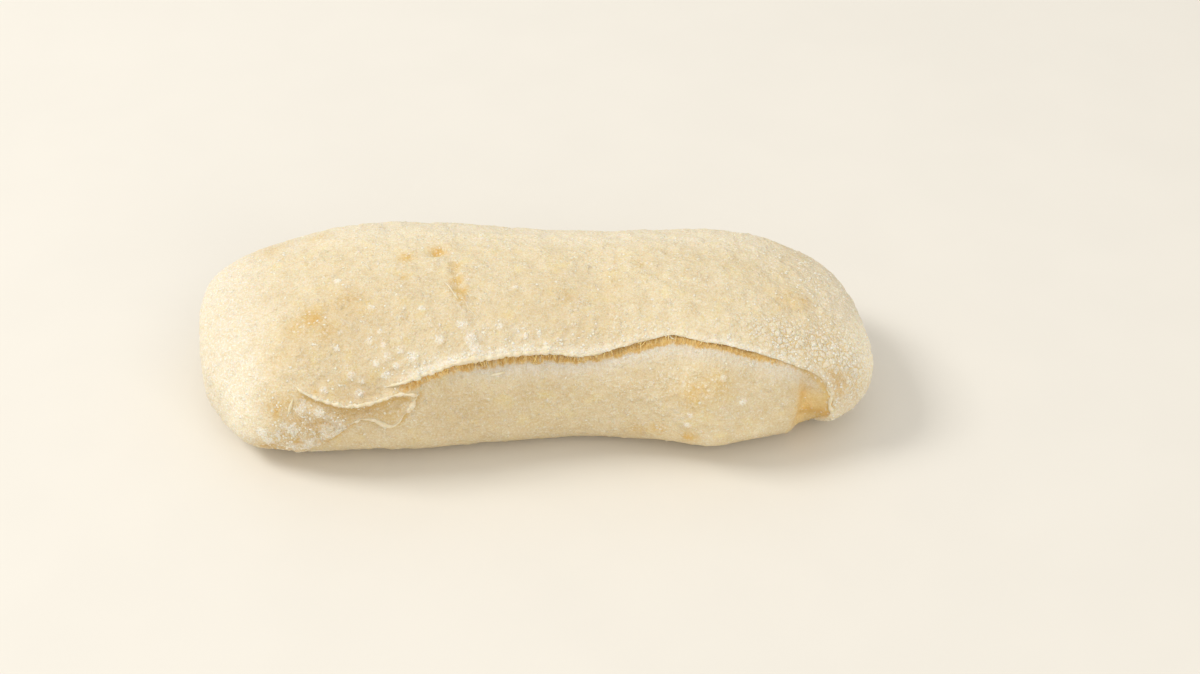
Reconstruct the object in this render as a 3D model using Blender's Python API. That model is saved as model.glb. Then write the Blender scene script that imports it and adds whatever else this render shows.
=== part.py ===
"""Ciabatta: a slipper-shaped loaf whose upper crust folds down over its front as a flap.

Metres and degrees, +Z up. The loaf lies along X with its shown side facing -Y and rests on
z = 0. Its surface is a closed loft of rings, one for each station along the loaf. Three guiding
rows of the loft follow the flap's edge, the ridge left of it and the hem below the ridge, so that
all three keep a crisp line and the edge can overhang the front wall below it. Lines on the crust
are given by knots, each a station in millimetres and a turn in degrees: 0 faces the front at the
girth's level, 90 is the top, 180 the back and 270 the underside.
"""

import bmesh
import bpy
import numpy as np

# Plan of the plain loaf: half widths either side of its spine, and where they draw in.
LENGTH = 0.257
FRONT_HALF = 0.0518
BACK_HALF = 0.0575
WAIST_X = 0.020
WAIST_REACH = 0.051
FRONT_WAIST = 0.0104
BACK_WAIST = 0.0045
LOBE_X = 0.0663
LOBE_REACH = 0.0134
LOBE = 0.0036
CORNER_X = -0.096
CORNER_REACH = 0.022
CORNER = 0.0024
SPINE_BENDS = (-0.0043, 0.0045)
BEND_START = 0.046
SKEW = 0.153

# Side profile: height of the dome, its two humps, and the level of the widest girth.
HEIGHT = 0.0560
GIRTH_LEVEL = 0.0224
LEFT_HUMP_X = -0.055
LEFT_HUMP = 0.0029
RIGHT_HUMP_X = 0.066
RIGHT_HUMP = 0.0019
HUMP_REACH = 0.040
FOOT_SINK = 0.0030

# Roundness: powers of the superellipses that shape the ends (left, right) and the section.
FRONT_POWERS = (3.4, 3.3)
BACK_POWERS = (3.4, 3.35)
DOME_POWERS = (3.4, 2.4)
FOOT_POWERS = (4.8, 3.5)
TOP_POWER = 2.3
BASE_POWER = 2.8

# Flap's edge, from its left end along the front and down the right corner to the foot.
EDGE = ((-53, 22.6), (-46, 25.6), (-40, 29.7), (-33, 33.5), (-25, 36.8), (-17, 37.6), (-9, 38.9),
        (-1, 39.4), (7, 39.0), (13, 37.0), (19, 35.9), (25, 37.4), (33, 41.2), (42, 46.2), (48, 49.4),
        (53, 51.9), (60, 51.1), (70, 49.6), (78, 45.7), (86, 41.5), (92, 37.0), (97, 33.0),
        (102, 28.4), (105.4, 21.0), (106.6, 14.0), (106.4, 5.0), (106.8, -3.0), (106.0, -9.0),
        (104.4, -17.0), (102, -34.0))
EDGE_LEAD_IN = ((-129, 40.0), (-92, 38.0), (-70, 29.0))
EDGE_LEAD_OUT = ((112, 15.0), (129, 14.0))
CORNER_START = 0.1063
CORNER_TURN = 14.0
EDGE_STATION = 0.1066

# Along the flap's edge (mm): how far the flap stands off the plain loaf, the depth of the torn
# hollow below it and the height of that hollow's mouth.
FLAP_RAISE = ((-53, 0.0), (-44, 0.9), (-30, 1.3), (0, 1.5), (20, 1.5), (52, 2.1), (80, 1.7), (129, 1.7))
HOLLOW_DEPTH = ((-50, 0.0), (-38, 0.6), (-20, 1.3), (12, 1.0), (24, 1.4), (40, 2.6), (52, 3.6), (66, 2.6),
                (82, 1.3), (100, 0.8), (129, 0.0))
HOLLOW_MOUTH = ((-50, 0.8), (-20, 1.3), (20, 1.2), (36, 2.2), (50, 2.9), (62, 2.3), (80, 1.4), (129, 1.0))
FLAP_FADE = 0.024
BEAD = 0.0003

# Section through the edge, row by row from the front wall up onto the flap: each row's distance
# from the edge on the plain loaf, where it ends up (a length and a share of the mouth), and how
# far out it stands (shares of the flap's raise, of the hollow's depth and of the bead).
EDGE_ROWS = (-6.0, -3.2, -1.8, -1.0, -0.5, -0.15, 0.15, 0.5, 1.0, 1.8, 3.2, 6.0)
ROW_PLACE = (-6.0, -0.5, 0.0, 0.9, 1.2, 0.1, -0.45, 0.1, 0.9, 1.8, 3.2, 6.0)
ROW_MOUTH = (0.0, -1.0, -0.5, 0.0, 0.0, 0.0, 0.0, 0.0, 0.0, 0.0, 0.0, 0.0)
ROW_RAISE = (0.0, 0.0, 0.0, 0.0, 0.0, 0.2, 0.7, 1.0, 1.0, 1.0, 1.0, 1.0)
ROW_HOLLOW = (0.0, 0.3, 1.0, 1.0, 0.4, 0.0, 0.0, 0.0, 0.0, 0.0, 0.0, 0.0)
ROW_BEAD = (0.0, 0.0, 0.0, 0.0, 0.0, 0.0, 0.5, 1.0, 1.0, 0.3, 0.0, 0.0)

# Pocket between the front wall's lobe and the flap's edge at the right corner.
POCKET_START = 0.0935
POCKET_STEP = 0.0985
POCKET_DEPTH = 0.0050
POCKET_RISE = 0.0020
LOBE_END_START = 0.080
LOBE_END_FALL = 0.0012

# Thin ridge left of the flap, and the hem where the floury crust below it laps the front wall.
RIDGE = ((-89.5, 28.0), (-84.5, 22.2), (-79.7, 19.0), (-74.7, 15.8), (-69, 13.5), (-63, 13.0), (-57.8, 13.2),
         (-52.5, 14.8), (-47, 17.8), (-40.8, 18.4))
RIDGE_LEAD_IN = ((-129, 30.0), (-100, 30.0))
RIDGE_LEAD_OUT = ((-25, 13.0), (0, 8.0), (129, 2.0))
RIDGE_ROWS = (-2.4, -1.0, 0.0, 1.0, 2.4)
RIDGE_RAISE = 0.0011
RIDGE_REACH = 0.0011
HEM = ((-88, -30.0), (-84.5, -16.5), (-79.3, -7.0), (-72.8, -1.0), (-66.8, 2.8), (-63.7, 6.0), (-58.2, 4.8),
       (-52.9, 0.8), (-48.8, 1.5), (-45, 8.5), (-42.9, 14.0), (-40.8, 18.4))
HEM_LEAD_IN = ((-129, -34.0),)
HEM_LEAD_OUT = ((-38, 4.0), (-25, 0.0), (129, -12.0))
HEM_END = -0.0488
HEM_ROWS = (-1.3, -0.25, 0.25, 1.3)
HEM_RAISE = 0.0014
HEM_FADE = 0.012

# Creases in the upper crust: knots, depth and reach.
CREASES = (
    (((-29.6, 94.0), (-28.6, 88.0), (-26.8, 80.0), (-25.8, 74.0)), 0.0009, 0.0022),
    (((3, 27.5), (13, 26.4), (22, 26.0)), 0.0004, 0.0020),
)

# Broad hollows and swellings of the crust: station (mm), turn, reach and height.
SWELLS = (
    (-36.5, 97.0, 0.0034, -0.0016),
    (-47.5, 94.5, 0.0050, -0.0006),
    (52.1, 102.0, 0.0030, -0.0006),
    (15.0, 70.0, 0.0220, -0.0007),
    (-86.0, 63.0, 0.0090, 0.0005),
    (62.0, 15.0, 0.0120, 0.0009),
    (100.0, 75.0, 0.0160, 0.0006),
    (-70.0, 130.0, 0.0200, 0.0008),
    (20.0, 150.0, 0.0240, -0.0009),
    (80.0, 140.0, 0.0180, 0.0007),
    (-25.0, 165.0, 0.0150, 0.0007),
)

# Mesh: stations along the loaf and the rows between its guiding rows.
STATIONS = 80
EDGE_STATIONS = (-2.4, -1.0, -0.35, -0.1, 0.1, 0.35, 1.0, 2.4)
EDGE_STATION_ROOM = 0.0033
UNDER_ROWS = 5
WALL_ROWS = 4
HEM_TO_RIDGE_ROWS = 3
RIDGE_TO_EDGE_ROWS = 2
CROWN_ROWS = 27
FOOT_LIMIT = -72.0
FINE_STEPS = 1441
TRACE_STEPS = 1601
TURN_LENGTH = 0.0009


def bell(distance, reach):
    """1 at no distance, falling smoothly to 0 a little past reach."""
    return np.exp(-((distance / reach) ** 2))


def ramp(value, start, end):
    """0 up to start, 1 from end on, with a smooth rise between."""
    share = np.clip((value - start) / (end - start), 0.0, 1.0)
    return share * share * (3.0 - 2.0 * share)


def end_share(along, powers):
    """Share of the full size that is left at a station: 1 mid-loaf and 0 at either tip."""
    power = np.where(along < 0.0, powers[0], powers[1])
    reach = np.clip(np.abs(along) / (LENGTH / 2.0), 0.0, 1.0)
    return (1.0 - reach**power) ** (1.0 / power)


def front_half(along):
    waist = FRONT_WAIST * bell(along - WAIST_X, WAIST_REACH)
    lobe = LOBE * bell(along - LOBE_X, LOBE_REACH)
    corner = CORNER * bell(along - CORNER_X, CORNER_REACH)
    return (FRONT_HALF - waist + lobe + corner) * end_share(along, FRONT_POWERS)


def back_half(along):
    waist = BACK_WAIST * bell(along - WAIST_X, WAIST_REACH)
    return (BACK_HALF - waist) * end_share(along, BACK_POWERS)


def dome_height(along):
    left = LEFT_HUMP * bell(along - LEFT_HUMP_X, HUMP_REACH)
    right = RIGHT_HUMP * bell(along - RIGHT_HUMP_X, HUMP_REACH)
    return HEIGHT + left + right


def spine(along):
    """How far the loaf's centre line bends back towards its two ends."""
    bend = np.where(along < 0.0, SPINE_BENDS[0], SPINE_BENDS[1])
    return bend * ramp(np.abs(along), BEND_START, LENGTH / 2.0)


def plain_loaf(along, around):
    """Points of the loaf without its flap, ridge, pocket and swells."""
    turn = np.radians(around)
    out, up = np.cos(turn), np.sin(turn)
    half = np.where(out > 0.0, front_half(along), back_half(along))
    rise = (dome_height(along) - GIRTH_LEVEL) * end_share(along, DOME_POWERS)
    fall = (GIRTH_LEVEL + FOOT_SINK) * end_share(along, FOOT_POWERS)
    power = np.where(up > 0.0, TOP_POWER, BASE_POWER)
    side = np.sign(out) * np.abs(out) ** (2.0 / power) * half
    level = np.sign(up) * np.abs(up) ** (2.0 / power) * np.where(up > 0.0, rise, fall)
    height = np.maximum(GIRTH_LEVEL + level, 0.0)
    slant = SKEW * ramp(np.abs(along), BEND_START, LENGTH / 2.0)
    return np.stack(np.broadcast_arrays(along + slant * side, spine(along) - side, height), axis=-1)


def foot_turn(along):
    """Turn at which the front of the plain loaf meets the ground."""
    fall = (GIRTH_LEVEL + FOOT_SINK) * end_share(along, FOOT_POWERS)
    share = np.clip(GIRTH_LEVEL / np.maximum(fall, GIRTH_LEVEL), 0.0, 1.0) ** (BASE_POWER / 2.0)
    return np.maximum(-np.degrees(np.arcsin(share)), FOOT_LIMIT)


def trace(knots):
    """Stations and turns at close steps along a line through its knots, with eased corners."""
    along, around = np.array(knots).T
    along = along * 0.001
    steps = np.hypot(np.diff(along), np.diff(around) * TURN_LENGTH)
    run = np.concatenate([[0.0], np.cumsum(steps)])
    fine = np.linspace(0.0, run[-1], TRACE_STEPS)
    window = np.hanning(2 * int(TRACE_STEPS * 0.004 / run[-1]) + 3)[1:-1]
    half = len(window) // 2
    eased = []
    for values in (along, around):
        line = np.interp(fine, run, values)
        lead = 2.0 * line[0] - line[half:0:-1]
        tail = 2.0 * line[-1] - line[-2:-half - 2:-1]
        eased.append(np.convolve(np.concatenate([lead, line, tail]), window / window.sum(), "valid"))
    return eased


def graded(points, table):
    """Value of a (millimetres, value) table at each station."""
    place, value = np.array(table).T
    return np.interp(points, place * 0.001, value)


EDGE_TRACE = trace(EDGE)
RIDGE_TRACE = trace(RIDGE)
HEM_TRACE = trace(HEM)


def guide(along, line, lead_in, lead_out, end):
    """Turn of a guiding row: it follows a traced line up to a station, and its leads elsewhere."""
    keep = np.arange(TRACE_STEPS) < (np.argmax(line[0] > end) if np.any(line[0] > end) else TRACE_STEPS)
    lead_in, lead_out = np.array(lead_in), np.array(lead_out)
    place = np.concatenate([lead_in[:, 0] * 0.001, line[0][keep], lead_out[:, 0] * 0.001])
    turn = np.concatenate([lead_in[:, 1], line[1][keep], lead_out[:, 1]])
    return np.interp(along, place, turn)


def edge_turn(along):
    return guide(along, EDGE_TRACE, EDGE_LEAD_IN, EDGE_LEAD_OUT, CORNER_START)


def ridge_turn(along):
    return guide(along, RIDGE_TRACE, RIDGE_LEAD_IN, RIDGE_LEAD_OUT, LENGTH)


def hem_turn(along):
    return guide(along, HEM_TRACE, HEM_LEAD_IN, HEM_LEAD_OUT, HEM_END)


def edge_along(around):
    """Station of the flap's edge below the corner, at each turn."""
    low = EDGE_TRACE[1] < CORNER_TURN
    return np.interp(around, EDGE_TRACE[1][low][::-1], EDGE_TRACE[0][low][::-1])


def nearest(points, line):
    """Distance from each point to a traced line, and the index of the line's nearest step."""
    target = plain_loaf(*line)
    flat = points.reshape(-1, 3)
    gap, index = np.empty(len(flat)), np.empty(len(flat), dtype=int)
    for start in range(0, len(flat), 512):
        part = flat[start:start + 512]
        apart = np.linalg.norm(part[:, None, :] - target[None, :, :], axis=-1)
        index[start:start + 512] = apart.argmin(axis=1)
        gap[start:start + 512] = apart.min(axis=1)
    return gap.reshape(points.shape[:-1]), index.reshape(points.shape[:-1])


def on_flap(along, around):
    """Whether a place lies on the flap's side of its edge."""
    down = np.argsort(EDGE_TRACE[1][EDGE_TRACE[0] > 0.090])
    low_turns = EDGE_TRACE[1][EDGE_TRACE[0] > 0.090][down]
    low_stations = EDGE_TRACE[0][EDGE_TRACE[0] > 0.090][down]
    past_corner = along > np.interp(around, low_turns, low_stations)
    return np.where(along < 0.090, around > edge_turn(along), past_corner)


def above_hem(along, around):
    """Whether a place lies on the floury side of the hem."""
    turn = np.interp(along, *HEM_TRACE)
    return (around > turn) & (along < HEM_TRACE[0][-1])


def ends_eased(index, share):
    """1 along a traced line, falling to 0 over a share of it at both ends."""
    place = index / (TRACE_STEPS - 1.0)
    return ramp(place, 0.0, share) * ramp(1.0 - place, 0.0, share)


def edge_profile(gap, index):
    """How far each place slides up the section and stands out, by its signed gap to the edge."""
    place = EDGE_TRACE[0][index]
    share = index / (TRACE_STEPS - 1.0)
    slide_part = ramp(place, -0.050, -0.034) * (1.0 - ramp(place, 0.094, 0.103))
    raised, hollow = graded(place, FLAP_RAISE) * 0.001, graded(place, HOLLOW_DEPTH) * 0.001
    mouth = graded(place, HOLLOW_MOUTH) * 0.001
    edge_part = ramp(place, -0.053, -0.042)
    rows = np.array(EDGE_ROWS) * 0.001
    shift = np.interp(gap, rows, np.array(ROW_PLACE) * 0.001 - rows) + mouth * np.interp(gap, rows, ROW_MOUTH)
    out = raised * np.interp(gap, rows, ROW_RAISE) * bell(np.maximum(gap - 0.004, 0.0), FLAP_FADE)
    out = out - hollow * np.interp(gap, rows, ROW_HOLLOW)
    out = out + edge_part * BEAD * np.interp(gap, rows, ROW_BEAD)
    return shift * slide_part, out * (1.0 - ramp(share, 0.985, 1.0))


def pocket(along, around):
    """Depth of the pocket, and of the lobe's rounded right end before it."""
    low = np.interp(around, (-34.0, -16.0, 4.0, 60.0, 90.0), (0.0, 0.25, 1.0, 1.0, 0.0))
    step = ramp(along, POCKET_START, POCKET_STEP)
    floor = POCKET_DEPTH - POCKET_RISE * ramp(along, POCKET_STEP, EDGE_STATION)
    return low * (floor * step + LOBE_END_FALL * ramp(along, LOBE_END_START, POCKET_START) * (1.0 - step))


def loaf_points(along, around):
    """Points of the whole crust."""
    plain = plain_loaf(along, around)
    speed = np.linalg.norm(plain_loaf(along, around + 0.5) - plain_loaf(along, around - 0.5), axis=-1)
    flap = on_flap(along, around)
    gap, index = nearest(plain, EDGE_TRACE)
    slide, out = edge_profile(np.where(flap, gap, -gap), index)
    below = np.where(flap, 0.0, pocket(along, around))
    apart, step = nearest(plain, RIDGE_TRACE)
    out = out - below + RIDGE_RAISE * bell(apart, RIDGE_REACH) * ends_eased(step, 0.08)
    apart, step = nearest(plain, HEM_TRACE)
    hem = HEM_RAISE * np.where(above_hem(along, around), bell(apart, HEM_FADE), 0.0)
    out = out + hem * ramp(around, -34.0, -10.0) * ramp(ridge_turn(along) - around, -6.0, 0.0)
    for knots, depth, reach in CREASES:
        line = trace(knots)
        apart, step = nearest(plain, line)
        out = out - depth * bell(apart, reach) * ends_eased(step, 0.25)
    for place, turn, reach, height in SWELLS:
        centre = plain_loaf(np.array(place * 0.001), np.array(turn))
        out = out + height * bell(np.linalg.norm(plain - centre, axis=-1), reach)
    turned = around + slide / np.maximum(speed, 1e-5)
    base = plain_loaf(along, turned)
    points = base + crust_normal(along, turned) * out[..., None]
    points[..., 2] = np.where(base[..., 2] <= 0.0, 0.0, np.maximum(points[..., 2], 0.0))
    return points


def crust_normal(along, around):
    """Outward unit normal of the plain loaf."""
    step = np.minimum(0.0005, (LENGTH / 2.0 - np.abs(along)) * 0.5)
    across = plain_loaf(along, around + 0.5) - plain_loaf(along, around - 0.5)
    onward = plain_loaf(along + step, around) - plain_loaf(along - step, around)
    normal = np.cross(onward, across)
    return normal / np.maximum(np.linalg.norm(normal, axis=-1, keepdims=True), 1e-12)


def run_along(points):
    return np.concatenate([[0.0], np.cumsum(np.linalg.norm(np.diff(points, axis=0), axis=1))])


def stations(count):
    """Stations spaced evenly along the front's outline, and closer around the pocket."""
    along = LENGTH / 2.0 * np.sin(np.linspace(-np.pi / 2.0, np.pi / 2.0, FINE_STEPS))
    run = run_along(plain_loaf(along, np.zeros_like(along)))
    weight = 1.0 + 1.6 * bell(along - 0.101, 0.009)
    run = np.concatenate([[0.0], np.cumsum(np.diff(run) * weight[1:])])
    even = np.interp(np.linspace(0.0, run[-1], count + 1)[1:-1], run, along)
    even = even[np.abs(even - EDGE_STATION) > EDGE_STATION_ROOM]
    return np.sort(np.concatenate([even, EDGE_STATION + np.array(EDGE_STATIONS) * 0.001]))


def ring(along):
    """Turns of the rows at a station: even between the guiding rows, and close beside them."""
    fine = np.linspace(-90.0, 270.0, FINE_STEPS)
    run = run_along(plain_loaf(np.full_like(fine, along), fine))
    foot = foot_turn(along)
    turns = [foot, hem_turn(along), ridge_turn(along), edge_turn(along), 180.0 - foot]
    foot, hem, ridge, edge, back = np.interp(turns, fine, run)
    hem = np.clip(hem, foot + 0.0002, ridge - 0.0002)
    squeeze = np.clip(np.diff([foot, hem, ridge, edge]) / (0.0022, 0.0044, 0.0098), 0.0, 1.0)
    hem = hem + np.array(HEM_ROWS) * 0.001 * min(squeeze[0], squeeze[1])
    ridge = ridge + np.array(RIDGE_ROWS) * 0.001 * min(squeeze[1], squeeze[2])
    edge = edge + np.array(EDGE_ROWS) * 0.001 * squeeze[2]
    rows = np.concatenate([
        np.linspace(0.0, foot, UNDER_ROWS + 1)[:-1],
        np.linspace(foot, hem[0], WALL_ROWS + 1)[:-1],
        hem,
        np.linspace(hem[-1], ridge[0], HEM_TO_RIDGE_ROWS + 2)[1:-1],
        ridge,
        np.linspace(ridge[-1], edge[0], RIDGE_TO_EDGE_ROWS + 2)[1:-1],
        edge,
        np.linspace(edge[-1], back, CROWN_ROWS + 1)[1:],
        np.linspace(back, run[-1], UNDER_ROWS + 1)[1:-1],
    ])
    return np.interp(rows, run, fine)


def loaf_grid():
    place = stations(STATIONS)
    around = np.stack([ring(value) for value in place])
    along = np.repeat(place[:, None], around.shape[1], axis=1)
    low = ramp(around, -50.0, -30.0) * (1.0 - ramp(around, CORNER_TURN, CORNER_TURN + 12.0))
    return along + bell(along - EDGE_STATION, 0.006) * low * (edge_along(around) - EDGE_STATION), around


def build_loaf():
    along, around = loaf_grid()
    points = loaf_points(along, around)
    tips = [np.array((x, float(spine(x)), GIRTH_LEVEL)) for x in (-LENGTH / 2.0, LENGTH / 2.0)]
    everything = np.concatenate([points.reshape(-1, 3), tips])
    middle = (everything.min(axis=0) + everything.max(axis=0)) / 2.0
    middle[2] = 0.0
    mesh = bmesh.new()
    rings = [[mesh.verts.new(point - middle) for point in line] for line in points]
    rows = len(rings[0])
    for near, far in zip(rings, rings[1:]):
        for row in range(rows):
            after = (row + 1) % rows
            mesh.faces.new((near[row], near[after], far[after], far[row]))
    for tip, line in zip(tips, (rings[0], rings[-1])):
        end = mesh.verts.new(tip - middle)
        for row in range(rows):
            mesh.faces.new((end, line[row], line[(row + 1) % rows]))
    bmesh.ops.recalc_face_normals(mesh, faces=mesh.faces)
    bmesh.ops.triangulate(mesh, faces=mesh.faces)
    data = bpy.data.meshes.new("loaf")
    mesh.to_mesh(data)
    mesh.free()
    data.shade_smooth()
    data.materials.append(crust_material())
    loaf = bpy.data.objects.new("loaf", data)
    bpy.context.scene.collection.objects.link(loaf)
    return loaf


def crust_material():
    material = bpy.data.materials.new("pale_crust")
    material.use_nodes = True
    shader = material.node_tree.nodes["Principled BSDF"]
    shader.inputs["Base Color"].default_value = (0.760, 0.631, 0.402, 1.0)
    shader.inputs["Roughness"].default_value = 0.85
    shader.inputs["Metallic"].default_value = 0.0
    return material


def main():
    for item in list(bpy.data.objects):
        bpy.data.objects.remove(item)
    build_loaf()


main()
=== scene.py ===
"""Ciabatta: a pale, floury, slipper-shaped loaf whose upper crust folds down over its front.

The loaf is one closed loft of rings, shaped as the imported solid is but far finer. Geometry Nodes
raise its blisters, wrinkles, cracks and torn crumb, dust it with flour and hang torn strands
under the flap's edge. Metres and degrees, +Z up, the shown side facing -Y. Lines on the crust
are given by knots, each a station in millimetres and a turn in degrees: 0 faces the front at
the girth's level, 90 is the top, 180 the back and 270 the underside.
"""

import bpy
import numpy as np
from bpy.props import FloatProperty, FloatVectorProperty, IntProperty, PointerProperty
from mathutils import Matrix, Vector, noise
from mathutils.kdtree import KDTree


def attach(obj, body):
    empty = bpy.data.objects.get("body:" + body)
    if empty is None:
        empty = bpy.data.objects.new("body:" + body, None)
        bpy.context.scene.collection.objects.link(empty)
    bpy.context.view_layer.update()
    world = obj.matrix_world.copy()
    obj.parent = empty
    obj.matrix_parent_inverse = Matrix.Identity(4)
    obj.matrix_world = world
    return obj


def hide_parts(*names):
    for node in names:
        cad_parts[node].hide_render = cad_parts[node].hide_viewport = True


bl_info = {
    "name": "Ciabatta",
    "version": (1, 0, 0),
    "blender": (4, 5, 0),
    "location": "View3D > Sidebar > Ciabatta",
    "description": "Builds a pale floury ciabatta loaf over its packed solid, with a plain studio",
    "category": "Object",
}

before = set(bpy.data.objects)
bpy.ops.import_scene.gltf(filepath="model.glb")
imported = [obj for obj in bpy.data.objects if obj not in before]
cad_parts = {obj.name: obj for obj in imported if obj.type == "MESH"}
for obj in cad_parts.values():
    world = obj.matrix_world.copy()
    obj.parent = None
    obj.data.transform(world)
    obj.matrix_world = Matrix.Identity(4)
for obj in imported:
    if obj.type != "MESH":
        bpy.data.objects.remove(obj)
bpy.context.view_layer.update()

# A millimetre in metres, and the millimetres in a metre.
MM = 0.001
PER_METRE = 1000.0

# Lines on the crust: station (mm), turn. A guiding row of the loft follows each line, and its
# leads before and after it. The edge leaves its row at CORNER_START (m) and runs down the corner
# beside EDGE_STATION, below CORNER_TURN. Past RIGHT_SIDE the flap is told apart by station.
EDGE = (
    (-53, 22.6), (-46, 25.3), (-40, 28.9), (-33, 32.4), (-25, 35.7), (-17, 36.4), (-9, 37.6), (-1, 38.1),
    (7, 37.8), (13, 36.1), (19, 35.3), (25, 36.9), (33, 40.9), (42, 46.2), (48, 49.4), (53, 51.9),
    (60, 51.1), (70, 49.6), (78, 45.7), (86, 41.2), (91.4, 37.5), (96, 33.8), (99.5, 30.0), (102.6, 24.8),
    (105.0, 18.0), (106.5, 10.0), (107.3, 2.0), (107.4, -4.0), (106.8, -10.0), (105.2, -18.0),
    (102.6, -34.0),
)
EDGE_LEAD_IN = ((-129, 40.0), (-92, 38.0), (-70, 29.0))
EDGE_LEAD_OUT = ((112, 15.0), (129, 14.0))
CORNER_START = 0.1063
CORNER_TURN = 14.0
EDGE_STATION = 0.1070
RIGHT_SIDE = 0.090
RIDGE = (
    (-89.5, 28.0), (-84.5, 22.8), (-79.7, 20.0), (-74.7, 17.2), (-69, 15.2), (-63, 15.6), (-57.8, 16.2),
    (-52.5, 18.2), (-47, 20.2), (-40.8, 18.6),
)
RIDGE_LEAD_IN = ((-129, 30.0), (-100, 30.0))
RIDGE_LEAD_OUT = ((-25, 13.0), (0, 8.0), (129, 2.0))
HEM = (
    (-88, -30.0), (-84.5, -16.5), (-79.3, -7.0), (-72.8, -1.0), (-66.8, 2.8), (-63.7, 6.0), (-58.2, 4.8),
    (-52.9, 0.8), (-48.8, 1.5), (-45, 8.5), (-42.9, 14.0), (-40.8, 18.4),
)
HEM_LEAD_IN = ((-129, -34.0),)
HEM_LEAD_OUT = ((-38, 4.0), (-25, 0.0), (129, -12.0))
HEM_END = -0.0488
HEM_FOOT = -34.0

# Small raised lines and grooves: knots, height or depth (mm) and reach (mm).
WELTS = (
    (((-41.8, 17.4), (-43.2, 14), (-45.4, 8.6)), 0.7, 0.8),
    (((-99, -23), (-92, -27), (-84, -30), (-76, -31)), 0.5, 0.8),
)
CREASES = (
    (((-29.6, 94), (-28.6, 88), (-26.8, 80), (-25.8, 74)), 1.1, 1.7),
    (((-26, 74), (-22.5, 71.8), (-20.3, 62.8), (-17.7, 52.8)), 0.9, 3.6),
    (((27, 104), (25, 90), (24.8, 78), (22, 61)), 1.6, 7.5),
    (((3, 27.5), (13, 26.4), (22, 26)), 0.4, 1.3),
    (((-107.5, -17.5), (-104.4, -22), (-101.5, -25.5), (-96, -31)), 0.5, 0.7),
    (((-95.4, 6.8), (-91.4, 5.2), (-86.8, 3.5), (-81.1, 5.2), (-76.1, 5.5), (-72.4, 3)), 0.8, 0.78),
    (((-98.5, -2), (-92, -6), (-85, -8)), 0.4, 0.6),
    (((-84.5, -5.6), (-80, -4.2), (-75.7, -4)), 0.5, 0.6),
    (((-106.5, -28), (-101.4, -17.5), (-95.1, -17.8), (-88, -22)), 0.6, 0.65),
    (((-98.9, 15.5), (-97, 12.6), (-98.2, 8.5), (-95.4, 6.8)), 0.6, 0.6),
    (((103.5, 34.5), (107.5, 27), (109.6, 18), (110.6, 8), (111, -3)), 0.5, 0.7),
    (((108.8, 30), (111.6, 19), (113, 7)), 0.4, 0.6),
    (((105.8, 24), (107.8, 16), (108.9, 6)), 0.4, 0.5),
)
CRACK_REACH = 0.8
CRACK_STAIN = 0.4

# Broad swells and dents: station (mm), turn, reach (mm) and height (mm).
SWELLS = (
    (-36.5, 98, 3, -1.9), (-37, 93, 3, 0.5), (-47.5, 94.5, 5, -0.7), (52.1, 102, 2.4, -0.9),
    (8, 80, 12, 0.6), (-86, 63, 9, 0.5), (62, 15, 12, 0.9), (100, 75, 16, 0.6), (-70, 130, 20, 0.8),
    (-87.2, 12.2, 2.1, 0.8), (-79.7, 11.2, 2, 0.8), (-98, 2, 3.5, 0.6), (-76, -3, 4, 0.5),
    (20, 150, 24, -0.9), (80, 140, 18, 0.7), (-25, 165, 15, 0.7), (-111, -24, 11, 2.6),
)

# Thin threads of crust that lie on the loaf: knots, radius (mm), share that is sunk, and lumpiness.
THREADS = (
    (RIDGE[:3], 0.5, 0.4, 0.9),
    (RIDGE[1:], 0.6, 0.46, 1.5),
    (((-66.5, 5), (-63.7, 7), (-58.2, 5.9), (-52.9, 2.2), (-49.5, 2.6), (-46.2, 7)), 0.92, 0.25, 1.5),
    (((-41.6, 17.6), (-43.2, 14.4), (-44.6, 10.6), (-45.6, 7.6)), 0.95, 0.2, 0.6),
    (((-90.3, 20), (-92, 14), (-93, 9)), 0.55, 0.5, 0.6),
    (((-24.8, 72), (-22.4, 66), (-19.4, 60.8)), 0.16, 0.3, 0.5),
    (((-33.1, 83), (-31.2, 80.6), (-29.6, 77.2), (-26.9, 71.8)), 0.28, 0.3, 0.8),
    (((-33.5, 79.5), (-30.9, 76.5)), 0.22, 0.3, 0.8),
    (((-30.4, 81.2), (-28.7, 77.8)), 0.24, 0.3, 0.8),
    (((-32, 85.5), (-30, 83)), 0.2, 0.3, 0.8),
    (((-41, 94.6), (-38, 95.4), (-34.6, 95)), 0.26, 0.4, 0.6),
    (((-15.2, 26.4), (-12, 27.2), (-8.6, 28.2)), 0.55, 0.3, 0.9),
    (((49.2, 51.5), (50.8, 49), (53.4, 48.8)), 0.32, 0, 0.6),
    (((79.7, 65.5), (81.8, 62.5), (83.1, 58)), 0.14, 0.3, 0.5),
    (((105.2, 14), (105.9, 10.8), (107.2, 5.2), (106.4, 0), (107.6, -6.2), (107, -13)), 0.75, 0.35, 1),
)
# The thread along the flap's edge: its radius (mm) and lumpiness by station (mm).
LIP_RADIUS = ((-50, 0.42), (-42, 0.8), (-20, 1), (4, 0.84), (16, 0.5), (28, 0.2))
LIP_LUMPS = ((-50, 0.8), (-20, 0.9), (12, 0.7), (28, 0.5))
LIP_THREAD_END = 0.028
LIP_THREAD_RISE = 0.00055
THREAD_PITCH = 0.00033
THREAD_TAPER = 0.004

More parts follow.
